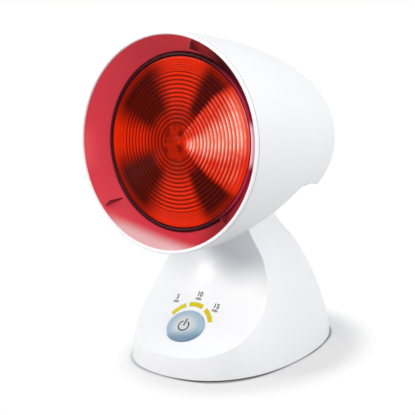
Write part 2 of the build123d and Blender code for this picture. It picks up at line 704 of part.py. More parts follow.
def lens_rings(start, pitch, height, count):
    """Section of pressed rings outward from a radius: a valley and a crest for each."""
    ring_points = []
    for i in range(count):
        valley = start + i * pitch
        ring_points.append((lens_front(valley) + height, valley))
        ring_points.append((lens_front(valley + pitch / 2), valley + pitch / 2))
    return ring_points


with BuildPart() as bulb_lens:
    fine_start = LENS_BOSS_RADIUS + LENS_RIDGES * LENS_RIDGE_PITCH
    fine_ridges = int((LENS_RADIUS - 2 * LENS_EDGE - fine_start) / LENS_FINE_PITCH)
    with BuildSketch(HEAD_SECTION):
        with BuildLine():
            Polyline(
                (LENS_BACK, 0),
                (BULB_DEPTH, 0),
                (lens_front(LENS_BOSS_RADIUS - LENS_EDGE), LENS_BOSS_RADIUS - LENS_EDGE),
                *lens_rings(LENS_BOSS_RADIUS, LENS_RIDGE_PITCH, LENS_RIDGE_HEIGHT, LENS_RIDGES),
                *lens_rings(fine_start, LENS_FINE_PITCH, LENS_FINE_HEIGHT, fine_ridges),
                (lens_front(LENS_RADIUS) - LENS_EDGE, LENS_RADIUS - LENS_EDGE),
                (lens_front(LENS_RADIUS), LENS_RADIUS),
                (LENS_BACK, LENS_RADIUS),
                close=True,
            )
        make_face()
    revolve(axis=HEAD_AXIS)
finish(bulb_lens.part, "bulb_lens")


def reflector_profile(inset):
    """Points of the reflector's bowl and neck from the lens to the cap, shrunk by an inset."""
    start = LENS_THICKNESS + SEAT_GAP
    neck_start = REFLECTOR_VERTEX - BULB_NECK_RADIUS**2 / REFLECTOR_OPENING
    bowl = []
    for i in range(BOWL_POINTS):
        depth = start + (neck_start - start) * sqrt(i / (BOWL_POINTS - 1))
        bowl.append((BULB_DEPTH + depth, sqrt(REFLECTOR_OPENING * (REFLECTOR_VERTEX - depth)) - inset))
    return bowl


CAP_INNER = CAP_RADIUS - THREAD_DEPTH - BULB_GLASS

with BuildPart() as bulb_reflector:
    with BuildSketch(HEAD_SECTION):
        with BuildLine():
            outer_bowl = Spline(*reflector_profile(0))
            inner_bowl = Spline(*reflector_profile(BULB_GLASS))
            Polyline(
                outer_bowl @ 1,
                (BULB_NECK_END, BULB_NECK_RADIUS),
                (CAP_START - SEAT_GAP, CAP_INNER + BULB_GLASS),
                (CAP_START - SEAT_GAP, CAP_INNER),
                (BULB_NECK_END, BULB_NECK_RADIUS - BULB_GLASS),
                inner_bowl @ 1,
            )
            Line(outer_bowl @ 0, inner_bowl @ 0)
        make_face()
    revolve(axis=HEAD_AXIS)
finish(bulb_reflector.part, "bulb_reflector")

with BuildPart() as bulb_cap:
    thread_start = CAP_START + CAP_COLLAR
    thread_points = []
    for i in range(THREAD_TURNS):
        crest = thread_start + (i + 0.5) * THREAD_PITCH
        thread_points.append((crest, CAP_RADIUS))
        thread_points.append((crest + THREAD_PITCH / 2, CAP_RADIUS - THREAD_DEPTH))
    with BuildSketch(HEAD_SECTION):
        with BuildLine():
            Polyline(
                (CAP_START, 0),
                (CAP_START, CAP_INNER + BULB_GLASS),
                (thread_start, CAP_RADIUS - THREAD_DEPTH),
                *thread_points,
                (BULB_END - CAP_TIP_LENGTH, CAP_TIP_RADIUS + CAP_TIP_LENGTH),
                (BULB_END - CAP_TIP_LENGTH / 2, CAP_TIP_RADIUS),
                (BULB_END, CAP_TIP_RADIUS),
                (BULB_END, 0),
                close=True,
            )
        make_face()
    revolve(axis=HEAD_AXIS)
finish(bulb_cap.part, "bulb_cap")

with BuildPart() as filament:
    stem_end = CAP_START - 2 * SEAT_GAP
    coil_depth = BULB_DEPTH + FILAMENT_DEPTH
    cross_wire = coil_depth + LEAD_LENGTH
    with BuildSketch(across_head(stem_end)):
        Circle(CAP_INNER - SEAT_GAP)
    extrude(amount=STEM_FLARE)
    with BuildSketch(across_head(stem_end)):
        Circle(STEM_RADIUS)
    extrude(amount=stem_end - coil_depth - STEM_CLEARANCE)
    with BuildSketch(across_head(coil_depth + STEM_CLEARANCE + STEM_FLARE)):
        with Locations((-STEM_RADIUS / 2, 0), (STEM_RADIUS / 2, 0)):
            Circle(FILAMENT_WIRE / 2)
    extrude(amount=STEM_CLEARANCE + STEM_FLARE - LEAD_LENGTH + FILAMENT_WIRE)
    with BuildSketch(Plane(origin=RIM_CENTRE + REARWARD * coil_depth, x_dir=(0, 1, 0), z_dir=(1, 0, 0))):
        Circle(FILAMENT_RADIUS)
    extrude(amount=FILAMENT_WIDTH / 2, both=True)
    with BuildSketch(across_head(cross_wire)):
        SlotOverall(FILAMENT_WIDTH + FILAMENT_WIRE, FILAMENT_WIRE)
    extrude(amount=FILAMENT_WIRE)
    with BuildSketch(across_head(cross_wire)):
        with Locations((-FILAMENT_WIDTH / 2, 0), (FILAMENT_WIDTH / 2, 0)):
            Circle(FILAMENT_WIRE / 2)
    extrude(amount=LEAD_LENGTH)
finish(filament.part, "filament")

# ---------------------------------------------------------------- base shell
GLAND_SEAT_Y = GLAND_END_Y - GLAND_FLANGE_THICKNESS
GLAND_RADIUS = GLAND_BORE + GLAND_WALL

with BuildPart() as base_bosses:
    with BuildSketch(Plane.XY.offset(PLATE_TOP)):
        with Locations(*BASE_SCREW_PLACES):
            Circle(PILLAR_RADIUS)
    extrude(amount=PIVOT_Z)
    with BuildSketch(Plane.XY.offset(CRADLE_TOP)):
        with Locations(*CRADLE_SCREW_PLACES):
            Circle(PILLAR_RADIUS)
    extrude(amount=PIVOT_Z / 2)
    with BuildSketch(panel(-BOARD_DEPTH)):
        with Locations(*BOARD_SCREW_PLACES):
            Circle(BOARD_BOSS_RADIUS)
    extrude(amount=2 * BOARD_DEPTH)
    add(BASE_OUTER, mode=Mode.INTERSECT)

with BuildPart() as base_shell:
    add(BASE_OUTER)
    add(BASE_INNER, mode=Mode.SUBTRACT)
    add(base_bosses.part)
    with BuildSketch(Plane(origin=(0, GLAND_SEAT_Y, GLAND_Z), x_dir=(1, 0, 0), z_dir=(0, -1, 0))):
        Circle(GLAND_COLLAR_RADIUS)
    extrude(amount=GLAND_LENGTH / 2)
    with BuildSketch(Plane(origin=(0, GLAND_SEAT_Y, GLAND_Z), x_dir=(1, 0, 0), z_dir=(0, 1, 0))):
        Circle(GLAND_FLANGE_RADIUS + EDGE_GAP)
    extrude(amount=GLAND_LENGTH, mode=Mode.SUBTRACT)
    with BuildSketch(Plane(origin=(0, GLAND_END_Y, GLAND_Z), x_dir=(1, 0, 0), z_dir=(0, -1, 0))):
        Circle(GLAND_RADIUS + SEAT_GAP)
    extrude(amount=2 * GLAND_LENGTH, mode=Mode.SUBTRACT)
    slit = sector(PIVOT_SIDE, NECK_RADIUS - 3 * BASE_WALL, NECK_RADIUS + BASE_WALL, SLIT_FROM, SLIT_TO)
    extrude(slit, amount=NECK_SLIT_HALF, both=True, mode=Mode.SUBTRACT)
    with BuildSketch(panel(-BUTTON_DEPTH)):
        Ellipse(BUTTON_HALF_WIDTH + EDGE_GAP, BUTTON_HALF_HEIGHT + EDGE_GAP)
    extrude(amount=2 * BUTTON_DEPTH, mode=Mode.SUBTRACT)
    window_gap = degrees(SEAT_GAP / WINDOW_RADIUS)
    for angle in WINDOW_ANGLES.values():
        window_hole = sector(
            panel(-BUTTON_DEPTH),
            WINDOW_RADIUS - WINDOW_WIDTH / 2 - SEAT_GAP,
            WINDOW_RADIUS + WINDOW_WIDTH / 2 + SEAT_GAP,
            angle - WINDOW_HALF_ANGLE - window_gap,
            angle + WINDOW_HALF_ANGLE + window_gap,
        )
        extrude(window_hole, amount=3 * BUTTON_DEPTH, mode=Mode.SUBTRACT)
    with BuildSketch(Plane.XY.offset(PLATE_TOP)):
        with Locations(*BASE_SCREW_PLACES):
            Circle(SCREW_BORE)
    extrude(amount=LONG_THREAD + SCREW_END_ROOM, mode=Mode.SUBTRACT)
    with BuildSketch(Plane.XY.offset(CRADLE_TOP)):
        with Locations(*CRADLE_SCREW_PLACES):
            Circle(SCREW_BORE)
    extrude(amount=LONG_THREAD + SCREW_END_ROOM, mode=Mode.SUBTRACT)
    with BuildSketch(panel(-BOARD_DEPTH)):
        with Locations(*BOARD_SCREW_PLACES):
            Circle(SCREW_BORE)
    extrude(amount=THREAD + SCREW_END_ROOM, mode=Mode.SUBTRACT)
finish(base_shell.part, "base_shell")

# ---------------------------------------------------------------- base plate and feet
with BuildPart() as base_plate:
    with BuildSketch(Plane.XY.offset(FOOT_HEIGHT)):
        with BuildLine():
            Spline(*base_outline(PLATE_TOP, BASE_WALL + EDGE_GAP), periodic=True)
        make_face()
        with Locations((0, VENT_CENTRE_Y)):
            with GridLocations(VENT_SLOT_PITCH, 1, VENT_SLOTS, 1):
                SlotOverall(VENT_SLOT_LENGTH, VENT_SLOT_WIDTH, rotation=90, mode=Mode.SUBTRACT)
    extrude(amount=PLATE_THICKNESS)
    with BuildSketch(Plane.XY.offset(FOOT_HEIGHT)):
        with Locations(*BASE_SCREW_PLACES):
            Circle(SCREW_HEAD_RADIUS + EDGE_GAP)
    extrude(amount=SCREW_HEAD_HEIGHT, mode=Mode.SUBTRACT)
    with BuildSketch(Plane.XY.offset(FOOT_HEIGHT)):
        with Locations(*BASE_SCREW_PLACES):
            Circle(SCREW_BORE)
    extrude(amount=PLATE_THICKNESS, mode=Mode.SUBTRACT)
finish(base_plate.part, "base_plate")

with BuildPart() as rubber_feet:
    with BuildSketch(Plane.XY):
        with Locations(*FOOT_PLACES):
            Circle(FOOT_RADIUS)
    extrude(amount=FOOT_HEIGHT)
    chamfer(rubber_feet.edges().group_by(Axis.Z)[0], FOOT_CHAMFER)
finish(rubber_feet.part, "rubber_feet")

SCREW_SEAT_Z = FOOT_HEIGHT + SCREW_HEAD_HEIGHT
base_screw_planes = [
    Plane(origin=(x, y, SCREW_SEAT_Z), x_dir=(1, 0, 0), z_dir=(0, 0, -1)) for x, y in BASE_SCREW_PLACES
]
finish(screws(base_screw_planes, PLATE_TOP - SCREW_SEAT_Z + LONG_THREAD), "base_screws")

with BuildPart() as cord_gland:
    with BuildSketch(Plane(origin=(0, GLAND_END_Y, GLAND_Z), x_dir=(1, 0, 0), z_dir=(0, -1, 0))):
        Circle(GLAND_FLANGE_RADIUS)
    extrude(amount=GLAND_FLANGE_THICKNESS - SEAT_GAP)
    fillet(cord_gland.edges().sort_by(Axis.Y)[-1], GLAND_ROUND)
    with BuildSketch(Plane(origin=(0, GLAND_END_Y, GLAND_Z), x_dir=(1, 0, 0), z_dir=(0, -1, 0))):
        Circle(GLAND_RADIUS)
    extrude(amount=GLAND_LENGTH)
    with BuildSketch(Plane(origin=(0, GLAND_END_Y, GLAND_Z), x_dir=(1, 0, 0), z_dir=(0, -1, 0))):
        Circle(GLAND_BORE)
    extrude(amount=GLAND_LENGTH, mode=Mode.SUBTRACT)
finish(cord_gland.part, "cord_gland")

# ---------------------------------------------------------------- button and windows
with BuildPart() as power_button:
    with BuildSketch(panel(-BUTTON_DEPTH)):
        Ellipse(BUTTON_HALF_WIDTH, BUTTON_HALF_HEIGHT)
    extrude(amount=BUTTON_DEPTH + BUTTON_CROWN)
    with Locations(panel(BUTTON_CROWN - BUTTON_DOME_RADIUS)):
        Sphere(BUTTON_DOME_RADIUS, mode=Mode.INTERSECT)
    fillet(power_button.faces().sort_by(Axis(BUTTON_POINT, PANEL_NORMAL))[-1].edges(), BUTTON_EDGE)
    with BuildSketch(panel(-BUTTON_DEPTH)):
        Ellipse(BUTTON_HALF_WIDTH + BUTTON_FLANGE, BUTTON_HALF_HEIGHT + BUTTON_FLANGE)
    extrude(amount=BUTTON_FLANGE_THICKNESS)
    with BuildSketch(panel(-STEM_END)):
        Circle(BUTTON_STEM_RADIUS)
    extrude(amount=STEM_END - BUTTON_DEPTH)
finish(power_button.part, "power_button")

for name, angle in WINDOW_ANGLES.items():
    window_face = sector(
        panel(-WINDOW_DEPTH),
        WINDOW_RADIUS - WINDOW_WIDTH / 2,
        WINDOW_RADIUS + WINDOW_WIDTH / 2,
        angle - WINDOW_HALF_ANGLE,
        angle + WINDOW_HALF_ANGLE,
    )
    with BuildPart() as light_window:
        extrude(window_face, amount=3 * BUTTON_DEPTH)
        add(BASE_OUTER, mode=Mode.INTERSECT)
    finish(light_window.part, f"light_window_{name}")

# ---------------------------------------------------------------- control board
BOARD_TOP = -BOARD_DEPTH - SEAT_GAP
BOARD_UNDER = BOARD_TOP - BOARD_THICKNESS

with BuildPart() as control_board:
    with BuildSketch(panel(BOARD_TOP)):
        with Locations((0, (BOARD_LOW + BOARD_HIGH) / 2)):
            RectangleRounded(2 * BOARD_HALF_WIDTH, BOARD_HIGH - BOARD_LOW, BOARD_CORNER)
        with Locations(*BOARD_SCREW_PLACES):
            Circle(SCREW_BORE, mode=Mode.SUBTRACT)
    extrude(amount=-BOARD_THICKNESS)
finish(control_board.part, "control_board")

board_screw_planes = [
    Plane(
        origin=panel(BOARD_UNDER).from_local_coords((x, y, 0)),
        x_dir=(1, 0, 0),
        z_dir=-PANEL_NORMAL,
    )
    for x, y in BOARD_SCREW_PLACES
]
finish(screws(board_screw_planes, BOARD_THICKNESS + THREAD), "board_screws")

with BuildPart() as tact_switch:
    with BuildSketch(panel(BOARD_TOP)):
        Rectangle(SWITCH_SIZE, SWITCH_SIZE)
    extrude(amount=SWITCH_HEIGHT)
    with BuildSketch(panel(BOARD_TOP)):
        Circle(PLUNGER_RADIUS)
    extrude(amount=SWITCH_TOP)
finish(tact_switch.part, "tact_switch")

with BuildPart() as timer_leds:
    for angle in WINDOW_ANGLES.values():
        place = (WINDOW_RADIUS * cos(radians(angle)), WINDOW_RADIUS * sin(radians(angle)))
        with BuildSketch(panel(BOARD_TOP)):
            with Locations(place):
                Circle(LED_RADIUS)
        extrude(amount=LED_HEIGHT)
    fillet(timer_leds.edges().filter_by(GeomType.CIRCLE).group_by(Axis.Z)[-1], LED_ROUND)
finish(timer_leds.part, "timer_leds")


def board_block(size, place):
    """Boxed component under the board."""
    width, length, height = size
    with BuildPart() as block:
        with BuildSketch(panel(BOARD_UNDER)):
            with Locations(place):
                Rectangle(width, length)
        extrude(amount=-height)
    return block.part


finish(board_block(RELAY_SIZE, RELAY_PLACE), "relay")
finish(board_block(FILM_SIZE, FILM_PLACE), "film_capacitor")
finish(board_block(CHIP_SIZE, CHIP_PLACE), "timer_chip")

terminal_body = board_block(TERMINAL_SIZE, TERMINAL_PLACE)
with BuildPart() as terminal_block:
    add(terminal_body)
    with BuildSketch(panel(BOARD_UNDER - TERMINAL_SIZE[2])):
        with Locations(TERMINAL_PLACE):
            with GridLocations(TERMINAL_PITCH, 1, TERMINAL_POLES, 1):
                Circle(TERMINAL_BORE)
    extrude(amount=TERMINAL_BORE_DEPTH, mode=Mode.SUBTRACT)
finish(terminal_block.part, "terminal_block")

with BuildPart() as electrolytic_capacitor:
    with BuildSketch(panel(BOARD_UNDER)):
        with Locations(CAN_PLACE):
            Circle(CAN_RADIUS)
    extrude(amount=-CAN_LENGTH)
    fillet(electrolytic_capacitor.edges().filter_by(GeomType.CIRCLE), CAN_ROUND)
finish(electrolytic_capacitor.part, "electrolytic_capacitor")

# ---------------------------------------------------------------- hinge in the neck
with BuildPart() as hinge_cradle:
    with BuildSketch(Plane.XY.offset(CRADLE_Z)):
        with Locations((0, PIVOT_Y)):
            RectangleRounded(2 * CRADLE_HALF_LENGTH, 2 * CRADLE_HALF_WIDTH, CRADLE_CORNER)
        with Locations(*CRADLE_SCREW_PLACES):
            Circle(SCREW_BORE, mode=Mode.SUBTRACT)
    extrude(amount=CRADLE_THICKNESS)
    for start in (CHEEK_AT, -CHEEK_END):
        with BuildSketch(along_axle(start)):
            Circle(CHEEK_HALF_WIDTH)
            Rectangle(
                2 * CHEEK_HALF_WIDTH,
                CRADLE_DROP - CRADLE_THICKNESS / 2,
                align=(Align.CENTER, Align.MAX),
            )
            Circle(AXLE_RADIUS + RUNNING_FIT, mode=Mode.SUBTRACT)
        extrude(amount=CHEEK_THICKNESS)
finish(hinge_cradle.part, "hinge_cradle")

cradle_screw_planes = [
    Plane(origin=(x, y, CRADLE_Z), x_dir=(1, 0, 0), z_dir=(0, 0, -1)) for x, y in CRADLE_SCREW_PLACES
]
finish(screws(cradle_screw_planes, CRADLE_THICKNESS + LONG_THREAD), "cradle_screws")

AXLE_END = CHEEK_END + SEAT_GAP + NUT_THICKNESS + AXLE_OVERHANG
with BuildPart() as hinge_axle:
    with BuildSketch(along_axle(-CHEEK_END - SEAT_GAP - AXLE_HEAD)):
        Circle(AXLE_RADIUS + AXLE_HEAD_STEP)
    extrude(amount=AXLE_HEAD)
    with BuildSketch(along_axle(-CHEEK_END - SEAT_GAP)):
        Circle(AXLE_RADIUS)
    extrude(amount=CHEEK_END + SEAT_GAP + AXLE_END)
    chamfer(hinge_axle.edges().sort_by(Axis.X)[-1], AXLE_CHAMFER)
finish(hinge_axle.part, "hinge_axle")

with BuildPart() as axle_nut:
    with BuildSketch(along_axle(CHEEK_END + SEAT_GAP)):
        RegularPolygon(NUT_ACROSS / 2, 6, major_radius=False)
        Circle(AXLE_RADIUS + RUNNING_FIT, mode=Mode.SUBTRACT)
    extrude(amount=NUT_THICKNESS)
finish(axle_nut.part, "axle_nut")


def washer(x, thickness):
    """Flat ring on the axle."""
    with BuildPart() as ring:
        with BuildSketch(along_axle(x)):
            Circle(WASHER_RADIUS)
            Circle(AXLE_RADIUS + 2 * RUNNING_FIT, mode=Mode.SUBTRACT)
        extrude(amount=thickness)
    return ring.part


SPACER = WASHER_THICKNESS - SEAT_GAP
near_washer = washer(WASHER_AT, SPACER)
far_washer = washer(-WASHER_AT - SPACER, SPACER)
with BuildPart() as thrust_washers:
    add(near_washer)
    add(far_washer)
finish(thrust_washers.part, "thrust_washers")
finish(washer(-CHEEK_AT + SEAT_GAP, SPACER), "wave_washer")

detent_blank = washer(CHEEK_AT - SEAT_GAP - SPACER, SPACER)
with BuildPart() as detent_ring:
    add(detent_blank)
    with BuildSketch(along_axle(CHEEK_AT - SEAT_GAP - SPACER)):
        for i in range(DETENT_POSITIONS):
            angle = radians(TONGUE_ANGLE + DETENT_STEP * (1 - i))
            with Locations((DETENT_RING_AT * cos(angle), DETENT_RING_AT * sin(angle))):
                Circle(DETENT_RADIUS)
    extrude(amount=SPACER, mode=Mode.SUBTRACT)
finish(detent_ring.part, "detent_ring")
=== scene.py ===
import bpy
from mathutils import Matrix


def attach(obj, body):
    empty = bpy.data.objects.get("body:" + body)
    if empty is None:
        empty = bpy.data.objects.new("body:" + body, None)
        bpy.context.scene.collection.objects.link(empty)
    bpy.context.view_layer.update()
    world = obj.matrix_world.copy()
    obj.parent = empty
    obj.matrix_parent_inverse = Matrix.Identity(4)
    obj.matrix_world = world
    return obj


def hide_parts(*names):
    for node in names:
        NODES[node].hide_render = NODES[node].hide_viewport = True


bl_info = {
    "name": "Infrared Table Lamp",
    "version": (1, 0, 0),
    "blender": (4, 5, 0),
    "location": "3D View > Sidebar > Lamp",
    "description": "Dresses the assembled infrared table lamp: housings, ruby bulb, button, marks and stage",
    "category": "Object",
}

from math import cos, pi, radians, sin

import bmesh
import bpy
from mathutils import Matrix, Vector
from mathutils.bvhtree import BVHTree

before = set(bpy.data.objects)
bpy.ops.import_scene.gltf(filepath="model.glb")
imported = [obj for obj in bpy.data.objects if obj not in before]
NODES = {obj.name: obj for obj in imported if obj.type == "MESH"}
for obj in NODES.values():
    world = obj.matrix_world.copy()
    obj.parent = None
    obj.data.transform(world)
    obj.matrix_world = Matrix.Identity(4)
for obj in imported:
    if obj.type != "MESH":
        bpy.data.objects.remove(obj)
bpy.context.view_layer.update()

# ------------------------------------------------------------------ geometry
# Metres, in the frame of the assembled lamp, unless a comment says otherwise.
# Depths on the head are measured along its axis, rearward from the plane of its rim.
HEAD_PITCH = 6.3            # degrees that the head looks up by at rest
PIVOT = Vector((0.0, 0.0022, 0.104))
RIM_AHEAD = 0.1016          # rim in front of the tilt axle
AXIS_ABOVE = 0.0674         # head's axis above the tilt axle
ACROSS = Vector((1.0, 0.0, 0.0))
REARWARD = Vector((0.0, cos(radians(HEAD_PITCH)), -sin(radians(HEAD_PITCH))))
UPWARD = Vector((0.0, sin(radians(HEAD_PITCH)), cos(radians(HEAD_PITCH))))
RIM_CENTRE = PIVOT - REARWARD * RIM_AHEAD + UPWARD * AXIS_ABOVE

# Front ring
FUNNEL_MOUTH = 0.080        # radius inside the lip
FUNNEL_FOOT = 0.068         # radius where the collar begins
FUNNEL_DEPTH = 0.019        # from the mouth to the foot
PAINTED_REFLECTION_ANGLE = -2.976         # radians: middle of the painted reflection on the funnel
PAINTED_REFLECTION_END = 0.766            # cosine of half the painted reflection's spread
PAINTED_REFLECTION_DEPTH = 0.0155         # how far back the painted reflection reaches in its middle

# Bulb's ribbed face and the glass bead round it
FACE_FRONT = 0.0158         # depth of the face's middle
FACE_BULGE = 0.0020         # how much deeper its edge lies
FACE_THICKNESS = 0.005
FACE_BORDER = 0.0024        # smooth border outside the rings
FACE_EDGE = ((0.0, 0.0020), (-0.0002, 0.0010), (0.0001, 0.0003), (0.0006, 0.0))  # (behind, inside)
BOSS_RISE = 0.0006          # how far the boss's middle stands out
BOSS_FLAT = 0.0015          # radius of that middle
BOSS_START = 0.3            # share of the boss's radius at which its dome's points begin
RIDGE_SAMPLES = 10          # points across each ring
RIDGE_ROUNDNESS = 0.6       # power of the rings' wave: below 1 they are full, with narrow grooves
BEAD_ROLL = 0.0014          # half the bead's width
BEAD_HEIGHT = 1.5           # bead's height over its width
BEAD_POINTS = 20
BEAD_BEHIND = 0.0003        # bead behind the face's edge
BEAD_CLEARANCE = 0.00015    # bead outside the face's edge

# Panel, button and prints; places on the panel are (across, up) from the button's middle.
PANEL_NORMAL = Vector((0.0, -0.6176, 0.7865))
PANEL_UP = Vector((0.0, 0.7865, 0.6176))
BUTTON_POINT = Vector((0.0, -0.0667, 0.0323))
WINDOW_RING = 0.0205        # radius on which the windows lie
SYMBOL_PLACE = (0.0002, -0.0009)
LABELS = (("5", -0.0208, 0.0223), ("10", -0.0004, 0.0273), ("15", 0.0178, 0.0213))
LABEL_SPREAD = 0.0018       # number above and unit below the label's middle
PANEL_PRINT = 0.00012       # how far the prints stand off
BUTTON_PRINT = 0.00010
PRINT_START = 0.01          # prints are made this far out, then laid down
CAST_START = 0.02           # rays that lay them down start this much further out
CAST_LENGTH = 0.06

# ------------------------------------------------------------------ stage
SEEN_RAYS = ("Is Camera Ray", "Is Glossy Ray", "Is Transmission Ray")
LIT_POINT = (0.0, 0.0, 0.12)
SOFT_BOXES = (
    # name, place, side, colour; the powers are settings
    ("key", (-0.90, -1.15, 0.62), 0.35, (1.05, 0.99, 0.96)),
    ("front", (0.05, -1.45, 0.85), 0.50, (1.10, 1.00, 0.90)),
    ("top", (0.30, 0.00, 1.60), 1.80, (1.16, 0.98, 0.86)),
    ("side", (1.50, 0.10, 0.60), 0.70, (1.05, 0.99, 0.96)),
    ("rear", (1.00, 1.10, 0.80), 0.80, (1.00, 1.00, 1.00)),
    ("crown", (-0.50, -0.75, 1.35), 0.40, (1.00, 1.00, 1.00)),
)
SKY = (0.72, 1.00, 1.28, 1.0)
WHITE = (1.0, 1.0, 1.0, 1.0)
FLOOR_GREY = (0.40, 0.40, 0.40, 1.0)
FLOOR_GLOW = 0.39
FLOOR_REACH = 12.0
SHADOW_MIDDLE = (0.015, 0.0, 0.0)
SHADOW_HALVES = (0.080, 0.105)      # beyond this oval the floor turns white
FOOTPRINT_MIDDLE = (0.0, 0.002, 0.0)
FOOTPRINT_HALVES = (0.0672, 0.098)  # the base's outline on the floor
FOOTPRINT_POWER = 2.8               # exponent of that outline: 2 is an ellipse
CAMERA_PLACE = (0.5589, -0.8016, 0.3506)
CAMERA_BACK = Vector((0.5739, -0.7848, 0.2340))
CAMERA_RIGHT = Vector((0.8072, 0.5903, 0.0))
SENSOR_WIDTH = 36.0                 # millimetres

# ------------------------------------------------------------------ colours shared by finishes
BLACK = (0.0, 0.0, 0.0)
RED_BLACK = (0.02, 0.0, 0.0)


# ------------------------------------------------------------------ settings
class LampSizes(bpy.types.PropertyGroup):
    """Sizes of the pieces that are modelled on the assembled lamp."""

    lens_radius: bpy.props.FloatProperty(
        name="Lens radius",
        description="Edge of the bulb's ribbed face",
        default=0.0645,
        unit="LENGTH",
    )
    lens_boss: bpy.props.FloatProperty(
        name="Lens boss",
        description="Radius of the smooth middle of the bulb's face",
        default=0.0148,
        unit="LENGTH",
    )
    lens_ridges: bpy.props.IntProperty(
        name="Lens ridges",
        description="Broad pressed rings on the bulb's face",
        default=12,
    )
    ridge_pitch: bpy.props.FloatProperty(
        name="Ridge pitch",
        description="Width of each broad ring; the fine rings outside them are half as wide",
        default=0.0032,
        unit="LENGTH",
    )
    ridge_height: bpy.props.FloatProperty(
        name="Ridge height",
        description="How far each broad ring stands out",
        default=0.0009,
        unit="LENGTH",
    )
    numeral_height: bpy.props.FloatProperty(
        name="Numeral height",
        description="Height of the printed minutes",
        default=0.0040,
        unit="LENGTH",
    )
    unit_height: bpy.props.FloatProperty(
        name="Unit height",
        description="Height of the printed word under each number",
        default=0.0026,
        unit="LENGTH",
    )
    symbol_radius: bpy.props.FloatProperty(
        name="Symbol radius",
        description="Middle radius of the standby symbol's ring",
        default=0.0044,
        unit="LENGTH",
    )
    symbol_stroke: bpy.props.FloatProperty(
        name="Symbol stroke",
        description="Line width of the standby symbol",
        default=0.0011,
        unit="LENGTH",
    )


class LampColours(bpy.types.PropertyGroup):
    """Colours of the lamp's finishes."""

    housing: bpy.props.FloatVectorProperty(
        name="Housing",
        description="White moulded plastic",
        subtype="COLOR",
        size=3,
        default=(0.895, 0.900, 0.908),
    )
    # Colour of the bulb's red glow, painted on the white funnel.
    funnel: bpy.props.FloatVectorProperty(
        name="Funnel",
        description="Glowing inside of the front ring",
        subtype="COLOR",
        size=3,
        default=(0.72, 0.046, 0.070),
    )
    lens: bpy.props.FloatVectorProperty(
        name="Bulb face",
        description="Ruby glass where it is lit",
        subtype="COLOR",
        size=3,
        default=(0.78, 0.021, 0.001),
    )
    # Colour of the painted shade in the dark sectors of the bulb's face.
    lens_painted_shade: bpy.props.FloatVectorProperty(
        name="Bulb face, dark",
        description="Ruby glass where it is dark",
        subtype="COLOR",
        size=3,
        default=(0.026, 0.002, 0.001),
    )
    button: bpy.props.FloatVectorProperty(
        name="Button",
        description="Blue moulded button",
        subtype="COLOR",
        size=3,
        default=(0.36, 0.50, 0.60),
    )
    window: bpy.props.FloatVectorProperty(
        name="Windows",
        description="Lit time windows",
        subtype="COLOR",
        size=3,
        default=(0.66, 0.575, 0.018),
    )
    ink: bpy.props.FloatVectorProperty(
        name="Print",
        description="Printed marks",
        subtype="COLOR",
        size=3,
        default=(0.018, 0.020, 0.026),
    )


class StageSettings(bpy.types.PropertyGroup):
    """Light and camera."""

    key_power: bpy.props.FloatProperty(
        name="Key power",
        description="Soft box at the left front",
        default=10.1,
        unit="POWER",
    )
    front_power: bpy.props.FloatProperty(
        name="Front power",
        description="Soft box straight in front",
        default=6.6,
        unit="POWER",
    )
    top_power: bpy.props.FloatProperty(
        name="Top power",
        description="Broad soft box overhead",
        default=9.1,
        unit="POWER",
    )
    side_power: bpy.props.FloatProperty(
        name="Side power",
        description="Soft box on the right",
        default=11.6,
        unit="POWER",
    )
    rear_power: bpy.props.FloatProperty(
        name="Rear power",
        description="Soft box behind on the right",
        default=2.0,
        unit="POWER",
    )
    crown_power: bpy.props.FloatProperty(
        name="Crown power",
        description="Small soft box high at the left front",
        default=1.4,
        unit="POWER",
    )
    ambient: bpy.props.FloatProperty(
        name="Ambient",
        description="Strength of the surroundings",
        default=0.29,
    )
    lens_length: bpy.props.FloatProperty(
        name="Camera lens",
        description="Focal length on a 36 mm sensor, in millimetres",
        default=107.66,
    )


# ------------------------------------------------------------------ shader writing
class Wire:
    """A socket that takes part in arithmetic; each operator adds a Math node."""

    def __init__(self, graph, socket):
        self.graph = graph
        self.socket = socket

    def math(self, operation, *values, clamp=False):
        """Math node with this wire as its first value."""
        settings = {"operation": operation, "use_clamp": clamp}
        return self.graph.node("ShaderNodeMath", settings, (self, *values))

    def __add__(self, other):
        return self.math("ADD", other)

    def __radd__(self, other):
        return self.math("ADD", other)

    def __sub__(self, other):
        return self.math("SUBTRACT", other)

    def __rsub__(self, other):
        return self.graph.node("ShaderNodeMath", {"operation": "SUBTRACT"}, (other, self))

    def __mul__(self, other):
        return self.math("MULTIPLY", other)

    def __rmul__(self, other):
        return self.math("MULTIPLY", other)

    def __truediv__(self, other):
        return self.math("DIVIDE", other)

    def __pow__(self, other):
        return self.math("POWER", other)

    def sine(self):
        return self.math("SINE")

    def cosine(self):
        return self.math("COSINE")

    def absolute(self):
        return self.math("ABSOLUTE")

    def clamped(self):
        """Value held between 0 and 1."""
        return self.math("ADD", 0.0, clamp=True)

    def rise(self, low, high):
        """Smooth rise from 0 at low to 1 at high."""
        ramp = ((self - low) / (high - low)).clamped()
        return ramp * ramp * (3.0 - 2.0 * ramp)

    def fall(self, low, high):
        """Smooth fall from 1 at low to 0 at high."""
        return 1.0 - self.rise(low, high)

    def band(self, start, end):
        """1 between a rise over the start span and a fall over the end span."""
        return self.rise(*start) * self.fall(*end)


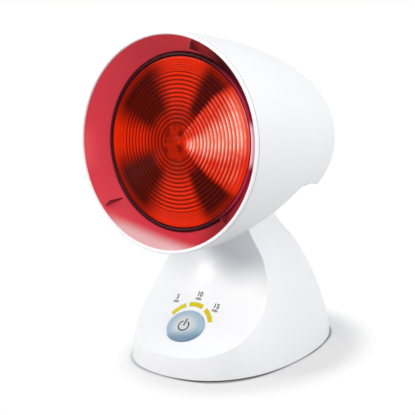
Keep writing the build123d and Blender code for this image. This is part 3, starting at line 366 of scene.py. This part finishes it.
class Graph:
    """Node tree of one material, or of the world."""

    def __init__(self, owner):
        owner.use_nodes = True
        self.owner = owner
        self.tree = owner.node_tree
        self.tree.nodes.clear()

    def node(self, kind, settings=None, sockets=(), out=0):
        """Adds a node: settings first, then the values or links of its sockets by place or name."""
        made = self.tree.nodes.new(kind)
        for name, value in (settings or {}).items():
            setattr(made, name, value)
        pairs = sockets.items() if isinstance(sockets, dict) else enumerate(sockets)
        for key, value in pairs:
            self.feed(made.inputs[key], value)
        return Wire(self, made.outputs[out]) if made.outputs else None

    def feed(self, socket, value):
        """Links a wire to a socket, or sets the socket's own value."""
        if isinstance(value, Wire):
            self.tree.links.new(value.socket, socket)
        else:
            socket.default_value = value

    def mix(self, factor, low, high):
        """Colour between low and high."""
        made = self.tree.nodes.new("ShaderNodeMix")
        made.data_type = "RGBA"
        self.feed(made.inputs[0], factor)
        for key, colour in ((6, low), (7, high)):
            self.feed(made.inputs[key], colour if isinstance(colour, Wire) else (*colour, 1.0))
        return Wire(self, made.outputs[2])

    def blend(self, factor, low, high):
        """Number between low and high."""
        return low * (1.0 - factor) + high * factor

    def place(self):
        """Position on the piece, in the lamp's frame, in metres."""
        return self.node("ShaderNodeTexCoord", out=3)

    def along(self, point, origin, direction):
        """Distance of a point from an origin along a direction."""
        offset = self.node("ShaderNodeVectorMath", {"operation": "SUBTRACT"}, (point, tuple(origin)))
        return self.node(
            "ShaderNodeVectorMath",
            {"operation": "DOT_PRODUCT"},
            (offset, tuple(direction)),
            out=1,
        )

    def noise(self, point, scale, detail=2.0):
        """Cloudy value about 0.5."""
        return self.node(
            "ShaderNodeTexNoise",
            None,
            {"Vector": point, "Scale": scale, "Detail": detail},
        )

    def bump(self, height, strength, distance):
        """Surface direction disturbed by a height."""
        return self.node(
            "ShaderNodeBump",
            None,
            {"Height": height, "Strength": strength, "Distance": distance},
        )

    def looked_at(self):
        """1 for rays from the camera, off gloss or through glass, and 0 for those that light."""
        return sum(self.node("ShaderNodeLightPath", out=ray) for ray in SEEN_RAYS).clamped()

    def finish(self, sockets):
        """Principled surface on the material's output."""
        surface = self.node("ShaderNodeBsdfPrincipled", None, sockets)
        self.node("ShaderNodeOutputMaterial", None, {"Surface": surface})
        return self.owner


def material_graph(name):
    """Empty node tree of a new material."""
    return Graph(bpy.data.materials.new(name))


def toned(colour, *factors):
    """Colour multiplied by one factor, or by one factor for each channel."""
    if len(factors) == 1:
        factors = factors * 3
    return tuple(channel * factor for channel, factor in zip(colour, factors))


def between(colour, other, share):
    """Colour at a share of the way to another."""
    return tuple(c + (o - c) * share for c, o in zip(colour, other))


def head_polar(g):
    """Depth behind the rim, radius, and angle in radians clockwise from the top, on the head."""
    point = g.place()
    depth = g.along(point, RIM_CENTRE, REARWARD)
    up = g.along(point, RIM_CENTRE, UPWARD)
    right = g.along(point, RIM_CENTRE, ACROSS)
    radius = (up * up + right * right) ** 0.5
    return depth, radius, right.math("ARCTAN2", up)


def panel_polar(g):
    """Distances across, up and away from the button's middle, on the panel."""
    point = g.place()
    across = g.along(point, BUTTON_POINT, ACROSS)
    up = g.along(point, BUTTON_POINT, PANEL_UP)
    return across, up, (across * across + up * up) ** 0.5


# ------------------------------------------------------------------ finishes
def moulded_plastic(name, colour, roughness, grain=1.0, coat=0.0):
    """Injection-moulded plastic: a faint grain and a slightly uneven gloss."""
    g = material_graph(name)
    point = g.place()
    grain_noise = g.noise(point, 900.0)
    cloud = g.noise(point, 14.0, 3.0)
    return g.finish(
        {
            "Base Color": g.mix(cloud, toned(colour, 0.965), colour),
            "Roughness": roughness + 0.06 * cloud,
            "Coat Weight": coat,
            "Coat Roughness": 0.12,
            "Normal": g.bump(grain_noise, 0.035 * grain, 0.0004),
        }
    )


def ring_finish(colours):
    """White lip, glossy funnel with the bulb's red glow painted on it and a painted reflection at its
    bottom, and a collar darkened with painted shade.
    """
    g = material_graph("front_ring_finish")
    depth, radius, angle = head_polar(g)
    cloud = g.noise(g.place(), 22.0, 3.0)

    # Painted red glow of the bulb on the white plastic, strongest at the left and dulled with painted shade
    # at the top.
    left = (0.5 - 0.5 * angle.sine()).clamped()
    glow = g.mix(left, toned(colours.funnel, 0.62), colours.funnel)
    top = (angle + 0.10).absolute().fall(0.10, 0.85)
    glow = g.mix(top * 0.55, glow, (0.46, 0.046, 0.052))

    # The upper right is in shade, which sets in sharply and lifts towards the bottom.
    shade = 0.5 * angle.rise(0.205, 0.215) + 0.5 * angle.rise(0.24, 0.70)
    shade = shade * (1.0 - angle.rise(1.05, 2.0) * 0.55) * angle.fall(2.45, 2.85)
    glow = g.mix((shade * 1.15).clamped(), glow, (0.020, 0.005, 0.006))

    # A painted highlight runs along the mouth at the left.
    painted_streak_highlight = (angle + 1.72).absolute().fall(0.05, 0.30) * depth.fall(0.002, 0.013)
    glow = g.mix(painted_streak_highlight * 0.45, glow, (0.90, 0.12, 0.14))

    # A painted pale reflection of the base covers the bottom, deepest in its middle, and fades to the sides.
    nearness = (angle - PAINTED_REFLECTION_ANGLE).cosine()
    painted_reflection_edge = PAINTED_REFLECTION_DEPTH * (nearness - PAINTED_REFLECTION_END) / (1.0 - PAINTED_REFLECTION_END)
    painted_reflection_mask = (painted_reflection_edge - depth).rise(-0.0006, 0.0100) * (1.0 + 0.2 * (cloud - 0.5))
    strength = 0.06 + 0.86 * nearness.rise(0.78, 0.99)
    strength = strength + 0.5 * angle.rise(0.5, 2.0) * (1.0 - strength)
    funnel = g.mix(painted_reflection_mask.clamped() * strength, glow, (0.74, 0.47, 0.48))

    # The ribs stand in front of the funnel's wall and are darkened with painted shade; so is the collar.
    wall_slope = FUNNEL_DEPTH / (FUNNEL_MOUTH - FUNNEL_FOOT)
    stands_out = (FUNNEL_MOUTH - radius) * wall_slope - depth
    funnel = g.mix(stands_out.rise(0.0003, 0.0007), funnel, (0.16, 0.014, 0.016))
    collar = radius.fall(FUNNEL_FOOT - 0.0001, FUNNEL_FOOT + 0.0006)
    inside = g.mix(collar, funnel, (0.045, 0.006, 0.012))

    # The lip is white, with a grey seam where it meets the head's shell.
    lip = radius.rise(FUNNEL_MOUTH - 0.0003, FUNNEL_MOUTH)
    white = g.mix(depth.rise(0.0018, 0.0023), (0.93, 0.935, 0.945), (0.36, 0.37, 0.39))
    return g.finish(
        {
            "Base Color": g.mix(lip, g.mix(0.42, inside, RED_BLACK), white),
            "Roughness": 0.22 + 0.05 * cloud,
            "Specular IOR Level": 0.12,
            # The painted glow of the funnel is given as emission too.
            "Emission Color": g.mix(lip, inside, BLACK),
            "Emission Strength": 0.49,
        }
    )


def lens_finish(sizes, colours):
    """Ruby glass with pressed rings, with painted light in broad sectors and painted shade in the sectors
    between them.
    """
    g = material_graph("bulb_face_ruby")
    _, radius, angle = head_polar(g)
    cloud = g.noise(g.place(), 60.0, 4.0)
    turn = angle * (180.0 / pi) + 7.0 * (cloud - 0.5)
    lean = 0.13 * (radius * 1000.0 - 50.0)
    near_edge = radius.rise(0.056, 0.063)

    # Four sectors of painted shade, in degrees; the two sides that face the fan lean as they go outwards.
    dark = turn.band((-88.0, -64.0), (-35.0, -11.0))
    dark = dark + turn.band((-171.0, -147.0), (-121.0, -97.0))
    dark = dark + turn.rise(13.0, 27.0) * (turn - lean).fall(38.0, 44.0)
    dark = dark + (turn + lean).rise(120.0, 127.0) * turn.fall(145.0, 158.0)
    # The painted shade fades out towards the middle and lightens near the edge.
    dark = dark.clamped() * radius.rise(0.015, 0.030) * (1.0 - 0.28 * near_edge)

    # Grooves lie between the pressed rings: broad ones round the boss, fine ones outside them.
    fine_start = fine_rings_start(sizes)
    wave = (radius - sizes.lens_boss) * (2.0 * pi / sizes.ridge_pitch)
    crest = (wave - 2.4).cosine()
    fine = radius.rise(fine_start - 0.0002, fine_start + 0.0002)
    broad_groove = wave.cosine().rise(-0.05, 0.85) * (1.0 - fine)
    fine_groove = (wave * 2.0).cosine().rise(0.0, 0.9) * fine * (1.0 - 0.75 * near_edge)
    boss = radius.fall(sizes.lens_boss - 0.0010, sizes.lens_boss - 0.0004)
    boss_groove = g.noise(g.place(), 190.0, 3.0).rise(0.42, 0.66) * 0.75
    groove_shade_and_boss_mottle = g.blend(boss, broad_groove * 0.95 + fine_groove * 0.55, boss_groove)

    # The fan is the sector of brightest painted light, at the right; outside it the middle is dimmed with
    # painted shade.
    fan = (turn - lean).rise(38.0, 47.0) * (turn + lean).fall(112.0, 125.0)
    middle = radius.fall(0.018, 0.036) * (1.0 - fan) * (1.0 - dark)
    glass = g.mix(dark * (1.0 - 0.09 * crest.rise(-0.2, 0.8)), colours.lens, colours.lens_painted_shade)
    glass = g.mix(middle * 0.55, glass, toned(colours.lens, 0.22))
    # Painted shade darkens the grooves, less on the fan, and the boss gets its mottle.
    glass = g.mix(groove_shade_and_boss_mottle * (0.90 - 0.40 * fan), glass, toned(colours.lens, 0.09))

    # A painted sheen and painted highlights lie on the fan, along a line that turns as it goes outwards.
    fan = fan * radius.rise(0.006, 0.014) * (1.0 - 0.75 * radius.rise(0.057, 0.063))
    streaks = g.noise(g.place(), 150.0, 3.0).rise(0.32, 0.60)
    painted_sheen = (turn + radius * 450.0 - 98.0).absolute().fall(3.0, 28.0)
    painted_glints = fan * crest.rise(0.0, 0.85) * (0.25 + 0.75 * streaks) * (0.20 + 0.80 * painted_sheen)
    glass = g.mix(fan * painted_sheen * (1.0 - 0.6 * groove_shade_and_boss_mottle) * 0.62, glass, (1.15, 0.34, 0.22))
    glass = g.mix(painted_glints * 0.90, glass, (1.45, 0.82, 0.68))

    # Painted shade darkens the very edge of the face.
    rim = radius.rise(sizes.lens_radius - 0.0006, sizes.lens_radius - 0.0001)
    face = g.mix(rim, glass, (0.06, 0.006, 0.012))
    return g.finish(
        {
            "Base Color": g.mix(0.8, face, RED_BLACK),
            "Roughness": 0.16 + 0.05 * cloud,
            "Specular IOR Level": 0.03,
            "Emission Color": face,
            "Emission Strength": 0.77,
            "IOR": 1.5,
        }
    )


def bead_finish():
    """Thick dark edge of the ruby glass, with a painted maroon reflection at the right and one painted
    highlight in it.
    """
    g = material_graph("bulb_edge_glass")
    _, radius, angle = head_polar(g)
    cloud = g.noise(g.place(), 90.0, 3.0)
    # Painted reflection at the right and one painted highlight in it, both also given as emission.
    right = angle.band((0.3, 1.2), (1.9, 2.6))
    painted_glint = angle.band((1.22, 1.34), (1.66, 1.78)) * radius.rise(0.0652, 0.0662)
    body = g.mix(cloud, (0.030, 0.004, 0.007), (0.050, 0.007, 0.012))
    body = g.mix(right, body, (0.42, 0.022, 0.060))
    glow = g.mix(right, BLACK, (0.30, 0.010, 0.030))
    return g.finish(
        {
            "Base Color": g.mix(painted_glint, body, (0.85, 0.40, 0.48)),
            "Roughness": 0.24 + 0.05 * cloud,
            "Specular IOR Level": 0.08,
            "Emission Color": g.mix(painted_glint, glow, (1.00, 0.60, 0.66)),
            "Emission Strength": 0.40,
        }
    )


def button_finish(colours):
    """Blue plastic with a painted highlight on its crown and painted shade deepening towards its lower edge.
    """
    g = material_graph("button_blue_finish")
    across, up, reach = panel_polar(g)
    # Painted shade towards the lower edge.
    low = ((across + 0.004) * 0.35 - up).rise(0.004, 0.0155)
    grain = g.noise(g.place(), 900.0)
    # Painted highlight that pales the crown.
    pale = between(colours.button, (0.90, 0.81, 0.72), 0.55)
    crown = g.mix(reach.rise(0.0040, 0.0140), pale, colours.button)
    return g.finish(
        {
            "Base Color": g.mix(low * 0.9, crown, toned(colours.button, 0.36, 0.45, 0.53)),
            "Roughness": 0.34 + 0.06 * grain,
            "Specular IOR Level": 0.25,
            "Normal": g.bump(grain, 0.03, 0.0004),
        }
    )


def window_finish(colours):
    """Translucent yellow with a golden line along its middle."""
    g = material_graph("time_window_yellow")
    across, _, reach = panel_polar(g)
    cloud = g.noise(g.place(), 420.0, 3.0)
    line = (reach - WINDOW_RING + 0.0003).absolute().fall(0.0002, 0.0007)
    body = g.mix(cloud.rise(0.3, 0.7), toned(colours.window, 0.86), colours.window)
    gold = toned(colours.window, 1.0, 0.66, 0.5)
    body = g.mix(line * across.rise(-0.016, 0.010) * 0.8, body, gold)
    return g.finish(
        {
            "Base Color": body,
            "Roughness": 0.30,
            "Specular IOR Level": 0.15,
            "Emission Color": body,
            "Emission Strength": 0.10,
        }
    )


def print_finish(colours):
    """Pad-printed ink with slightly uneven cover."""
    g = material_graph("printed_ink")
    cloud = g.noise(g.place(), 1500.0, 2.0)
    return g.finish(
        {
            "Base Color": g.mix(cloud, colours.ink, toned(colours.ink, 1.6)),
            "Roughness": 0.55,
        }
    )


def metal(name, colour, roughness, brushed=0.0):
    """Plated or pressed metal with fine scratches."""
    g = material_graph(name)
    point = g.place()
    stretched = g.node("ShaderNodeVectorMath", {"operation": "MULTIPLY"}, (point, (1.0, 1.0, 14.0)))
    scratches = g.noise(stretched, 260.0, 3.0)
    cloud = g.noise(point, 40.0, 3.0)
    return g.finish(
        {
            "Base Color": g.mix(cloud, toned(colour, 0.88), colour),
            "Metallic": 1.0,
            "Roughness": roughness + 0.12 * scratches,
            "Normal": g.bump(scratches, 0.06 + brushed, 0.0003),
        }
    )


def rubber(name, colour):
    """Matt black rubber with a fine pebble."""
    g = material_graph(name)
    pebble = g.noise(g.place(), 1600.0, 3.0)
    return g.finish(
        {
            "Base Color": g.mix(pebble, toned(colour, 0.7), toned(colour, 1.3)),
            "Roughness": 0.78 + 0.1 * pebble,
            "Normal": g.bump(pebble, 0.25, 0.0003),
        }
    )


def ceramic_finish():
    """Glazed porcelain with faint specks."""
    g = material_graph("holder_porcelain")
    specks = g.noise(g.place(), 500.0, 5.0)
    return g.finish(
        {
            "Base Color": g.mix(specks.rise(0.60, 0.72), (0.84, 0.81, 0.75), (0.62, 0.57, 0.50)),
            "Roughness": 0.22 + 0.05 * specks,
            "Coat Weight": 0.4,
        }
    )


def mirror_glass_finish():
    """Aluminised bulb glass, warm where the light leaks through."""
    g = material_graph("bulb_mirror_coat")
    cloud = g.noise(g.place(), 30.0, 4.0)
    return g.finish(
        {
            "Base Color": g.mix(cloud, (0.62, 0.50, 0.50), (0.80, 0.74, 0.74)),
            "Metallic": 0.9,
            "Roughness": 0.14 + 0.08 * cloud,
        }
    )


def circuit_board_finish():
    """Green solder mask over faint tracks."""
    g = material_graph("board_solder_mask")
    cells = g.node(
        "ShaderNodeTexVoronoi",
        {"distance": "MANHATTAN"},
        {"Vector": g.place(), "Scale": 260.0},
    )
    return g.finish(
        {
            "Base Color": g.mix(cells.rise(0.30, 0.34), (0.010, 0.16, 0.06), (0.03, 0.30, 0.13)),
            "Roughness": 0.35 + 0.1 * cells,
            "Coat Weight": 0.5,
        }
    )


def paint(node_names, material):
    """Gives the named nodes one material all over."""
    for name in node_names:
        piece = NODES[name]
        piece.data.materials.clear()
        piece.data.materials.append(material)
        for face in piece.data.polygons:
            face.material_index = 0


# ------------------------------------------------------------------ mesh making
def new_piece(name, mesh, body, material, replaces=()):
    """Adds a mesh as a piece that rides on a body."""
    piece = bpy.data.objects.new(name, mesh)
    bpy.context.scene.collection.objects.link(piece)
    mesh.materials.clear()
    mesh.materials.append(material)
    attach(piece, body)
    if replaces:
        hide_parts(*replaces)
    return piece


def revolved(name, profile, segments=192):
    """Mesh turned about the head's axis from (depth, radius) points; radius 0 closes it."""
    mesh = bpy.data.meshes.new(name)
    bm = bmesh.new()
    rings = []
    for depth, radius in profile:
        centre = RIM_CENTRE + REARWARD * depth
        if radius < 1e-9:
            rings.append([bm.verts.new(centre)])
            continue
        ring = []
        for i in range(segments):
            angle = 2 * pi * i / segments
            ring.append(bm.verts.new(centre + (UPWARD * cos(angle) + ACROSS * sin(angle)) * radius))
        rings.append(ring)
    for inner, outer in zip(rings, rings[1:]):
        for i in range(segments):
            j = (i + 1) % segments
            corners = [ring[k % len(ring)] for ring, k in ((inner, i), (inner, j), (outer, j), (outer, i))]
            kept = [c for k, c in enumerate(corners) if c is not corners[k - 1]]
            if len(kept) > 2:
                bm.faces.new(kept)
    bmesh.ops.recalc_face_normals(bm, faces=bm.faces)
    for face in bm.faces:
        face.smooth = True
    bm.to_mesh(mesh)
    bm.free()
    return mesh


def fine_rings_start(sizes):
    """Radius at which the face's fine rings take over from the broad ones."""
    return sizes.lens_boss + sizes.lens_ridges * sizes.ridge_pitch


def face_profile(sizes):
    """Points (depth, radius) of the bulb's ribbed face, from its middle to its back."""
    middle = FACE_FRONT - BOSS_RISE
    points = [(middle, 0.0), (middle, BOSS_FLAT)]
    radius = sizes.lens_boss * BOSS_START
    while radius < sizes.lens_radius - FACE_BORDER:
        scale = 0.5 if radius > fine_rings_start(sizes) else 1.0
        pitch = sizes.ridge_pitch * scale
        phase = 2 * pi * (radius - sizes.lens_boss) / pitch
        wave = 0.5 - 0.5 * cos(phase) if radius > sizes.lens_boss else 0.0
        dome = FACE_FRONT + FACE_BULGE * (radius / sizes.lens_radius) ** 2
        points.append((dome - sizes.ridge_height * scale * wave**RIDGE_ROUNDNESS, radius))
        radius += pitch / RIDGE_SAMPLES
    edge = FACE_FRONT + FACE_BULGE
    points += [(edge + behind, sizes.lens_radius - inside) for behind, inside in FACE_EDGE]
    points += [(edge + FACE_THICKNESS, sizes.lens_radius), (edge + FACE_THICKNESS, 0.0)]
    return points


def bead_profile(sizes):
    """Points (depth, radius) of the rolled glass edge, all the way round its section."""
    start = FACE_FRONT + FACE_BULGE + BEAD_BEHIND
    points = []
    for i in range(BEAD_POINTS):
        angle = 2 * pi * i / BEAD_POINTS
        depth = start + BEAD_ROLL * (1.0 - BEAD_HEIGHT * sin(angle))
        radius = sizes.lens_radius + BEAD_CLEARANCE + BEAD_ROLL * (1.0 - cos(angle))
        points.append((depth, radius))
    return points + points[:1]


def laid_on(mesh, node, direction, lift):
    """Drops each point of a flat mesh against a direction onto a node, standing off by a lift."""
    surface = NODES[node].data
    points = [v.co.copy() for v in surface.vertices]
    faces = [tuple(p.vertices) for p in surface.polygons]
    tree = BVHTree.FromPolygons(points, faces)
    for vertex in mesh.vertices:
        start = vertex.co + direction * CAST_START
        hit = tree.ray_cast(start, -direction, CAST_LENGTH)[0]
        if hit is None:
            raise RuntimeError(f"a mark misses {node}")
        vertex.co = hit + direction * lift


def panel_matrix(across, up):
    """Placement over the panel, from the button's middle."""
    origin = BUTTON_POINT + ACROSS * across + PANEL_UP * up + PANEL_NORMAL * PRINT_START
    axes = Matrix((ACROSS, PANEL_UP, PANEL_NORMAL)).transposed().to_4x4()
    return Matrix.Translation(origin) @ axes


def printed_word(name, text, height, matrix, material):
    """Flat lettering laid on the panel."""
    curve = bpy.data.curves.new(name + "_curve", "FONT")
    curve.body = text
    curve.size = height * 1.38      # the font's numerals are lower than its size
    curve.offset = height * 0.03    # a little bolder
    curve.align_x = "CENTER"
    curve.align_y = "CENTER"
    curve.resolution_u = 6
    holder = bpy.data.objects.new(name + "_holder", curve)
    bpy.context.scene.collection.objects.link(holder)
    bpy.context.view_layer.update()
    mesh = bpy.data.meshes.new_from_object(holder)
    mesh.name = name
    bpy.data.objects.remove(holder)
    mesh.transform(matrix)
    laid_on(mesh, "base_shell", PANEL_NORMAL, PANEL_PRINT)
    return new_piece(name, mesh, "base", material)


def standby_mesh(name, radius, stroke, segments=48, rows=6):
    """Ring open at the top with a bar through the gap."""
    mesh = bpy.data.meshes.new(name)
    bm = bmesh.new()
    gap = radians(30)
    inner = []
    outer = []
    for i in range(segments + 1):
        angle = gap + (2 * pi - 2 * gap) * i / segments
        direction = Vector((sin(angle), cos(angle), 0.0))
        inner.append(bm.verts.new(direction * (radius - stroke / 2)))
        outer.append(bm.verts.new(direction * (radius + stroke / 2)))
    for i in range(segments):
        bm.faces.new((inner[i], inner[i + 1], outer[i + 1], outer[i]))
    bar_height = radius * 1.52
    sides = []
    for i in range(rows + 1):
        y = bar_height * i / rows
        sides.append([bm.verts.new(Vector((side * stroke / 2, y, 0.0))) for side in (-1, 1)])
    for near, far in zip(sides, sides[1:]):
        bm.faces.new((near[0], near[1], far[1], far[0]))
    bm.to_mesh(mesh)
    bm.free()
    return mesh


# ------------------------------------------------------------------ stage making
def soft_box(name, place, side, power, colour):
    """Square soft light that aims at the middle of the lamp."""
    light = bpy.data.lights.new(name, "AREA")
    light.shape = "SQUARE"
    light.size = side
    light.energy = power
    light.color = colour
    holder = bpy.data.objects.new(name, light)
    holder.location = place
    holder.rotation_euler = (Vector(LIT_POINT) - Vector(place)).to_track_quat("-Z", "Y").to_euler()
    bpy.context.scene.collection.objects.link(holder)


def on_floor(g, middle, halves):
    """Places across and ahead of a middle on the floor, each 1 at the end of its half."""
    point = g.place()
    across = g.along(point, middle, ACROSS) / halves[0]
    ahead = g.along(point, middle, (0.0, 1.0, 0.0)) / halves[1]
    return across, ahead


def floor_finish():
    """Grey paper that takes the shadow and runs out into white, and plain grey for the light."""
    g = material_graph("studio_floor")
    dull = g.node("ShaderNodeBsdfDiffuse", None, {"Color": FLOOR_GREY})
    paper = g.node("ShaderNodeBsdfDiffuse", None, {"Color": FLOOR_GREY})
    glow = g.node("ShaderNodeEmission", None, {"Color": WHITE, "Strength": FLOOR_GLOW})
    lit = g.node("ShaderNodeAddShader", None, (paper, glow))

    # Under the base the paper doesn't glow, so that the seam round its foot stays dark.
    wide, long = on_floor(g, FOOTPRINT_MIDDLE, FOOTPRINT_HALVES)
    footprint = wide.absolute() ** FOOTPRINT_POWER + long.absolute() ** FOOTPRINT_POWER
    outside = (footprint + 0.09 * long.rise(0.1, 0.5)).rise(0.91, 0.99)
    near = g.node("ShaderNodeMixShader", None, (outside, paper, lit))

    across, ahead = on_floor(g, SHADOW_MIDDLE, SHADOW_HALVES)
    reach = (across * across + ahead * ahead) ** 0.5
    far = g.node("ShaderNodeEmission", None, {"Color": WHITE, "Strength": 1.0})
    seen = g.node("ShaderNodeMixShader", None, (reach.rise(0.88, 1.24), near, far))
    surface = g.node("ShaderNodeMixShader", None, (g.looked_at(), dull, seen))
    g.node("ShaderNodeOutputMaterial", None, {"Surface": surface})
    return g.owner


def floor():
    """Wide flat floor under the lamp."""
    mesh = bpy.data.meshes.new("floor")
    r = FLOOR_REACH
    mesh.from_pydata([(-r, -r, 0), (r, -r, 0), (r, r, 0), (-r, r, 0)], [], [(0, 1, 2, 3)])
    mesh.materials.append(floor_finish())
    piece = bpy.data.objects.new("floor", mesh)
    bpy.context.scene.collection.objects.link(piece)


def surroundings(strength):
    """World that looks white, and lights the lamp faintly with a blue tint."""
    world = bpy.data.worlds.new("studio")
    bpy.context.scene.world = world
    g = Graph(world)
    light = g.node("ShaderNodeBackground", None, {"Color": SKY, "Strength": strength})
    white = g.node("ShaderNodeBackground", None, {"Color": WHITE, "Strength": 1.0})
    surface = g.node("ShaderNodeMixShader", None, (g.looked_at(), light, white))
    g.node("ShaderNodeOutputWorld", None, {"Surface": surface})


def camera(lens_length):
    """Camera at the right front, a little above the lamp."""
    data = bpy.data.cameras.new("camera")
    data.lens = lens_length
    data.sensor_width = SENSOR_WIDTH
    back = CAMERA_BACK.normalized()
    right = CAMERA_RIGHT.normalized()
    axes = Matrix((right, back.cross(right), back)).transposed().to_4x4()
    holder = bpy.data.objects.new("camera", data)
    holder.matrix_world = Matrix.Translation(CAMERA_PLACE) @ axes
    bpy.context.scene.collection.objects.link(holder)
    bpy.context.scene.camera = holder


# ------------------------------------------------------------------ operators
class LAMP_OT_housings(bpy.types.Operator):
    """Finish the white housings, the floor plate, the feet and the gland"""

    bl_idname = "lamp.housings"
    bl_label = "Housings"

    def execute(self, context):
        colours = context.scene.lamp_colours
        white = moulded_plastic("housing_white", tuple(colours.housing), 0.38, coat=0.10)
        paint(("base_shell", "head_shell", "rear_grille"), white)
        paint(("base_plate",), moulded_plastic("floor_plate_grey", (0.20, 0.21, 0.22), 0.5, grain=2.0))
        paint(("rubber_feet", "cord_gland"), rubber("foot_rubber_black", (0.03, 0.03, 0.032)))
        return {"FINISHED"}


class LAMP_OT_front_ring(bpy.types.Operator):
    """Finish the front ring"""

    bl_idname = "lamp.front_ring"
    bl_label = "Front ring"

    def execute(self, context):
        paint(("front_ring",), ring_finish(context.scene.lamp_colours))
        return {"FINISHED"}


class LAMP_OT_bulb(bpy.types.Operator):
    """Model the bulb's ribbed face and finish the bulb and its holder"""

    bl_idname = "lamp.bulb"
    bl_label = "Bulb"

    def execute(self, context):
        sizes = context.scene.lamp_sizes
        face = revolved("bulb_face", face_profile(sizes))
        ruby = lens_finish(sizes, context.scene.lamp_colours)
        new_piece("bulb_face", face, "head", ruby, replaces=("bulb_lens",))
        bead = revolved("bulb_bead", bead_profile(sizes))
        new_piece("bulb_bead", bead, "head", bead_finish())
        paint(("bulb_reflector",), mirror_glass_finish())
        paint(("bulb_cap", "holder_shell", "holder_contact"), metal("cap_brass", (0.80, 0.62, 0.32), 0.25))
        paint(("filament",), metal("filament_wire", (0.45, 0.42, 0.40), 0.4))
        paint(("lamp_holder",), ceramic_finish())
        return {"FINISHED"}


class LAMP_OT_button(bpy.types.Operator):
    """Finish the button and print its symbol"""

    bl_idname = "lamp.button"
    bl_label = "Button"

    def execute(self, context):
        sizes = context.scene.lamp_sizes
        colours = context.scene.lamp_colours
        paint(("power_button",), button_finish(colours))
        mesh = standby_mesh("standby_symbol", sizes.symbol_radius, sizes.symbol_stroke)
        mesh.transform(panel_matrix(*SYMBOL_PLACE))
        laid_on(mesh, "power_button", PANEL_NORMAL, BUTTON_PRINT)
        new_piece("standby_symbol", mesh, "button", print_finish(colours))
        return {"FINISHED"}


class LAMP_OT_windows(bpy.types.Operator):
    """Finish the time windows and print the minutes"""

    bl_idname = "lamp.windows"
    bl_label = "Time windows"

    def execute(self, context):
        sizes = context.scene.lamp_sizes
        colours = context.scene.lamp_colours
        paint(("light_window_5", "light_window_10", "light_window_15"), window_finish(colours))
        ink = print_finish(colours)
        for minutes, across, up in LABELS:
            above = panel_matrix(across, up + LABEL_SPREAD)
            below = panel_matrix(across, up - LABEL_SPREAD)
            printed_word(f"minutes_{minutes}", minutes, sizes.numeral_height, above, ink)
            printed_word(f"unit_{minutes}", "min", sizes.unit_height, below, ink)
        return {"FINISHED"}


class LAMP_OT_works(bpy.types.Operator):
    """Finish the screws, the hinge, the brackets and the timer's board"""

    bl_idname = "lamp.works"
    bl_label = "Works"

    def execute(self, context):
        paint(
            (
                "base_screws",
                "board_screws",
                "cradle_screws",
                "tongue_screws",
                "bracket_screws",
                "holder_screws",
                "hinge_axle",
                "axle_nut",
                "wave_washer",
                "detent_ring",
            ),
            metal("screw_zinc", (0.66, 0.67, 0.69), 0.28),
        )
        paint(
            ("hinge_cradle", "hinge_tongue", "holder_bracket"),
            metal("bracket_steel", (0.60, 0.61, 0.62), 0.34, brushed=0.05),
        )
        paint(("thrust_washers",), moulded_plastic("washer_acetal", (0.05, 0.05, 0.055), 0.4))
        paint(("control_board",), circuit_board_finish())
        paint(("terminal_block",), moulded_plastic("terminal_green", (0.03, 0.32, 0.10), 0.45))
        paint(
            ("tact_switch", "timer_chip", "electrolytic_capacitor"),
            moulded_plastic("component_black", (0.02, 0.02, 0.022), 0.45),
        )
        paint(("relay", "film_capacitor"), moulded_plastic("component_blue", (0.03, 0.10, 0.40), 0.35))
        paint(("timer_leds",), moulded_plastic("led_amber", (0.85, 0.50, 0.05), 0.15))
        return {"FINISHED"}


class LAMP_OT_stage(bpy.types.Operator):
    """Set the floor, the soft boxes, the surroundings and the camera"""

    bl_idname = "lamp.stage"
    bl_label = "Stage"

    def execute(self, context):
        settings = context.scene.lamp_stage
        context.scene.view_settings.view_transform = "Standard"
        floor()
        surroundings(settings.ambient)
        for name, place, side, colour in SOFT_BOXES:
            soft_box(name, place, side, getattr(settings, f"{name}_power"), colour)
        camera(settings.lens_length)
        return {"FINISHED"}


class LAMP_PT_panel(bpy.types.Panel):
    """Lists the lamp's settings and the buttons of its steps"""

    bl_idname = "LAMP_PT_panel"
    bl_label = "Infrared lamp"
    bl_space_type = "VIEW_3D"
    bl_region_type = "UI"
    bl_category = "Lamp"

    def draw(self, context):
        for group, _ in GROUPS:
            settings = getattr(context.scene, group)
            for name in settings.__annotations__:
                self.layout.prop(settings, name)
        for step in STEPS:
            self.layout.operator(step)


GROUPS = (
    ("lamp_sizes", LampSizes),
    ("lamp_colours", LampColours),
    ("lamp_stage", StageSettings),
)
OPERATORS = (
    LAMP_OT_housings,
    LAMP_OT_front_ring,
    LAMP_OT_bulb,
    LAMP_OT_button,
    LAMP_OT_windows,
    LAMP_OT_works,
    LAMP_OT_stage,
)
STEPS = tuple(operator.bl_idname for operator in OPERATORS)


def register():
    for name, group in GROUPS:
        bpy.utils.register_class(group)
        setattr(bpy.types.Scene, name, bpy.props.PointerProperty(type=group))
    for operator in OPERATORS:
        bpy.utils.register_class(operator)
    bpy.utils.register_class(LAMP_PT_panel)


def unregister():
    bpy.utils.unregister_class(LAMP_PT_panel)
    for operator in reversed(OPERATORS):
        bpy.utils.unregister_class(operator)
    for name, group in reversed(GROUPS):
        delattr(bpy.types.Scene, name)
        bpy.utils.unregister_class(group)


def main():
    register()
    for step in STEPS:
        category, name = step.split(".")
        getattr(getattr(bpy.ops, category), name)()


if __name__ == "__main__":
    main()
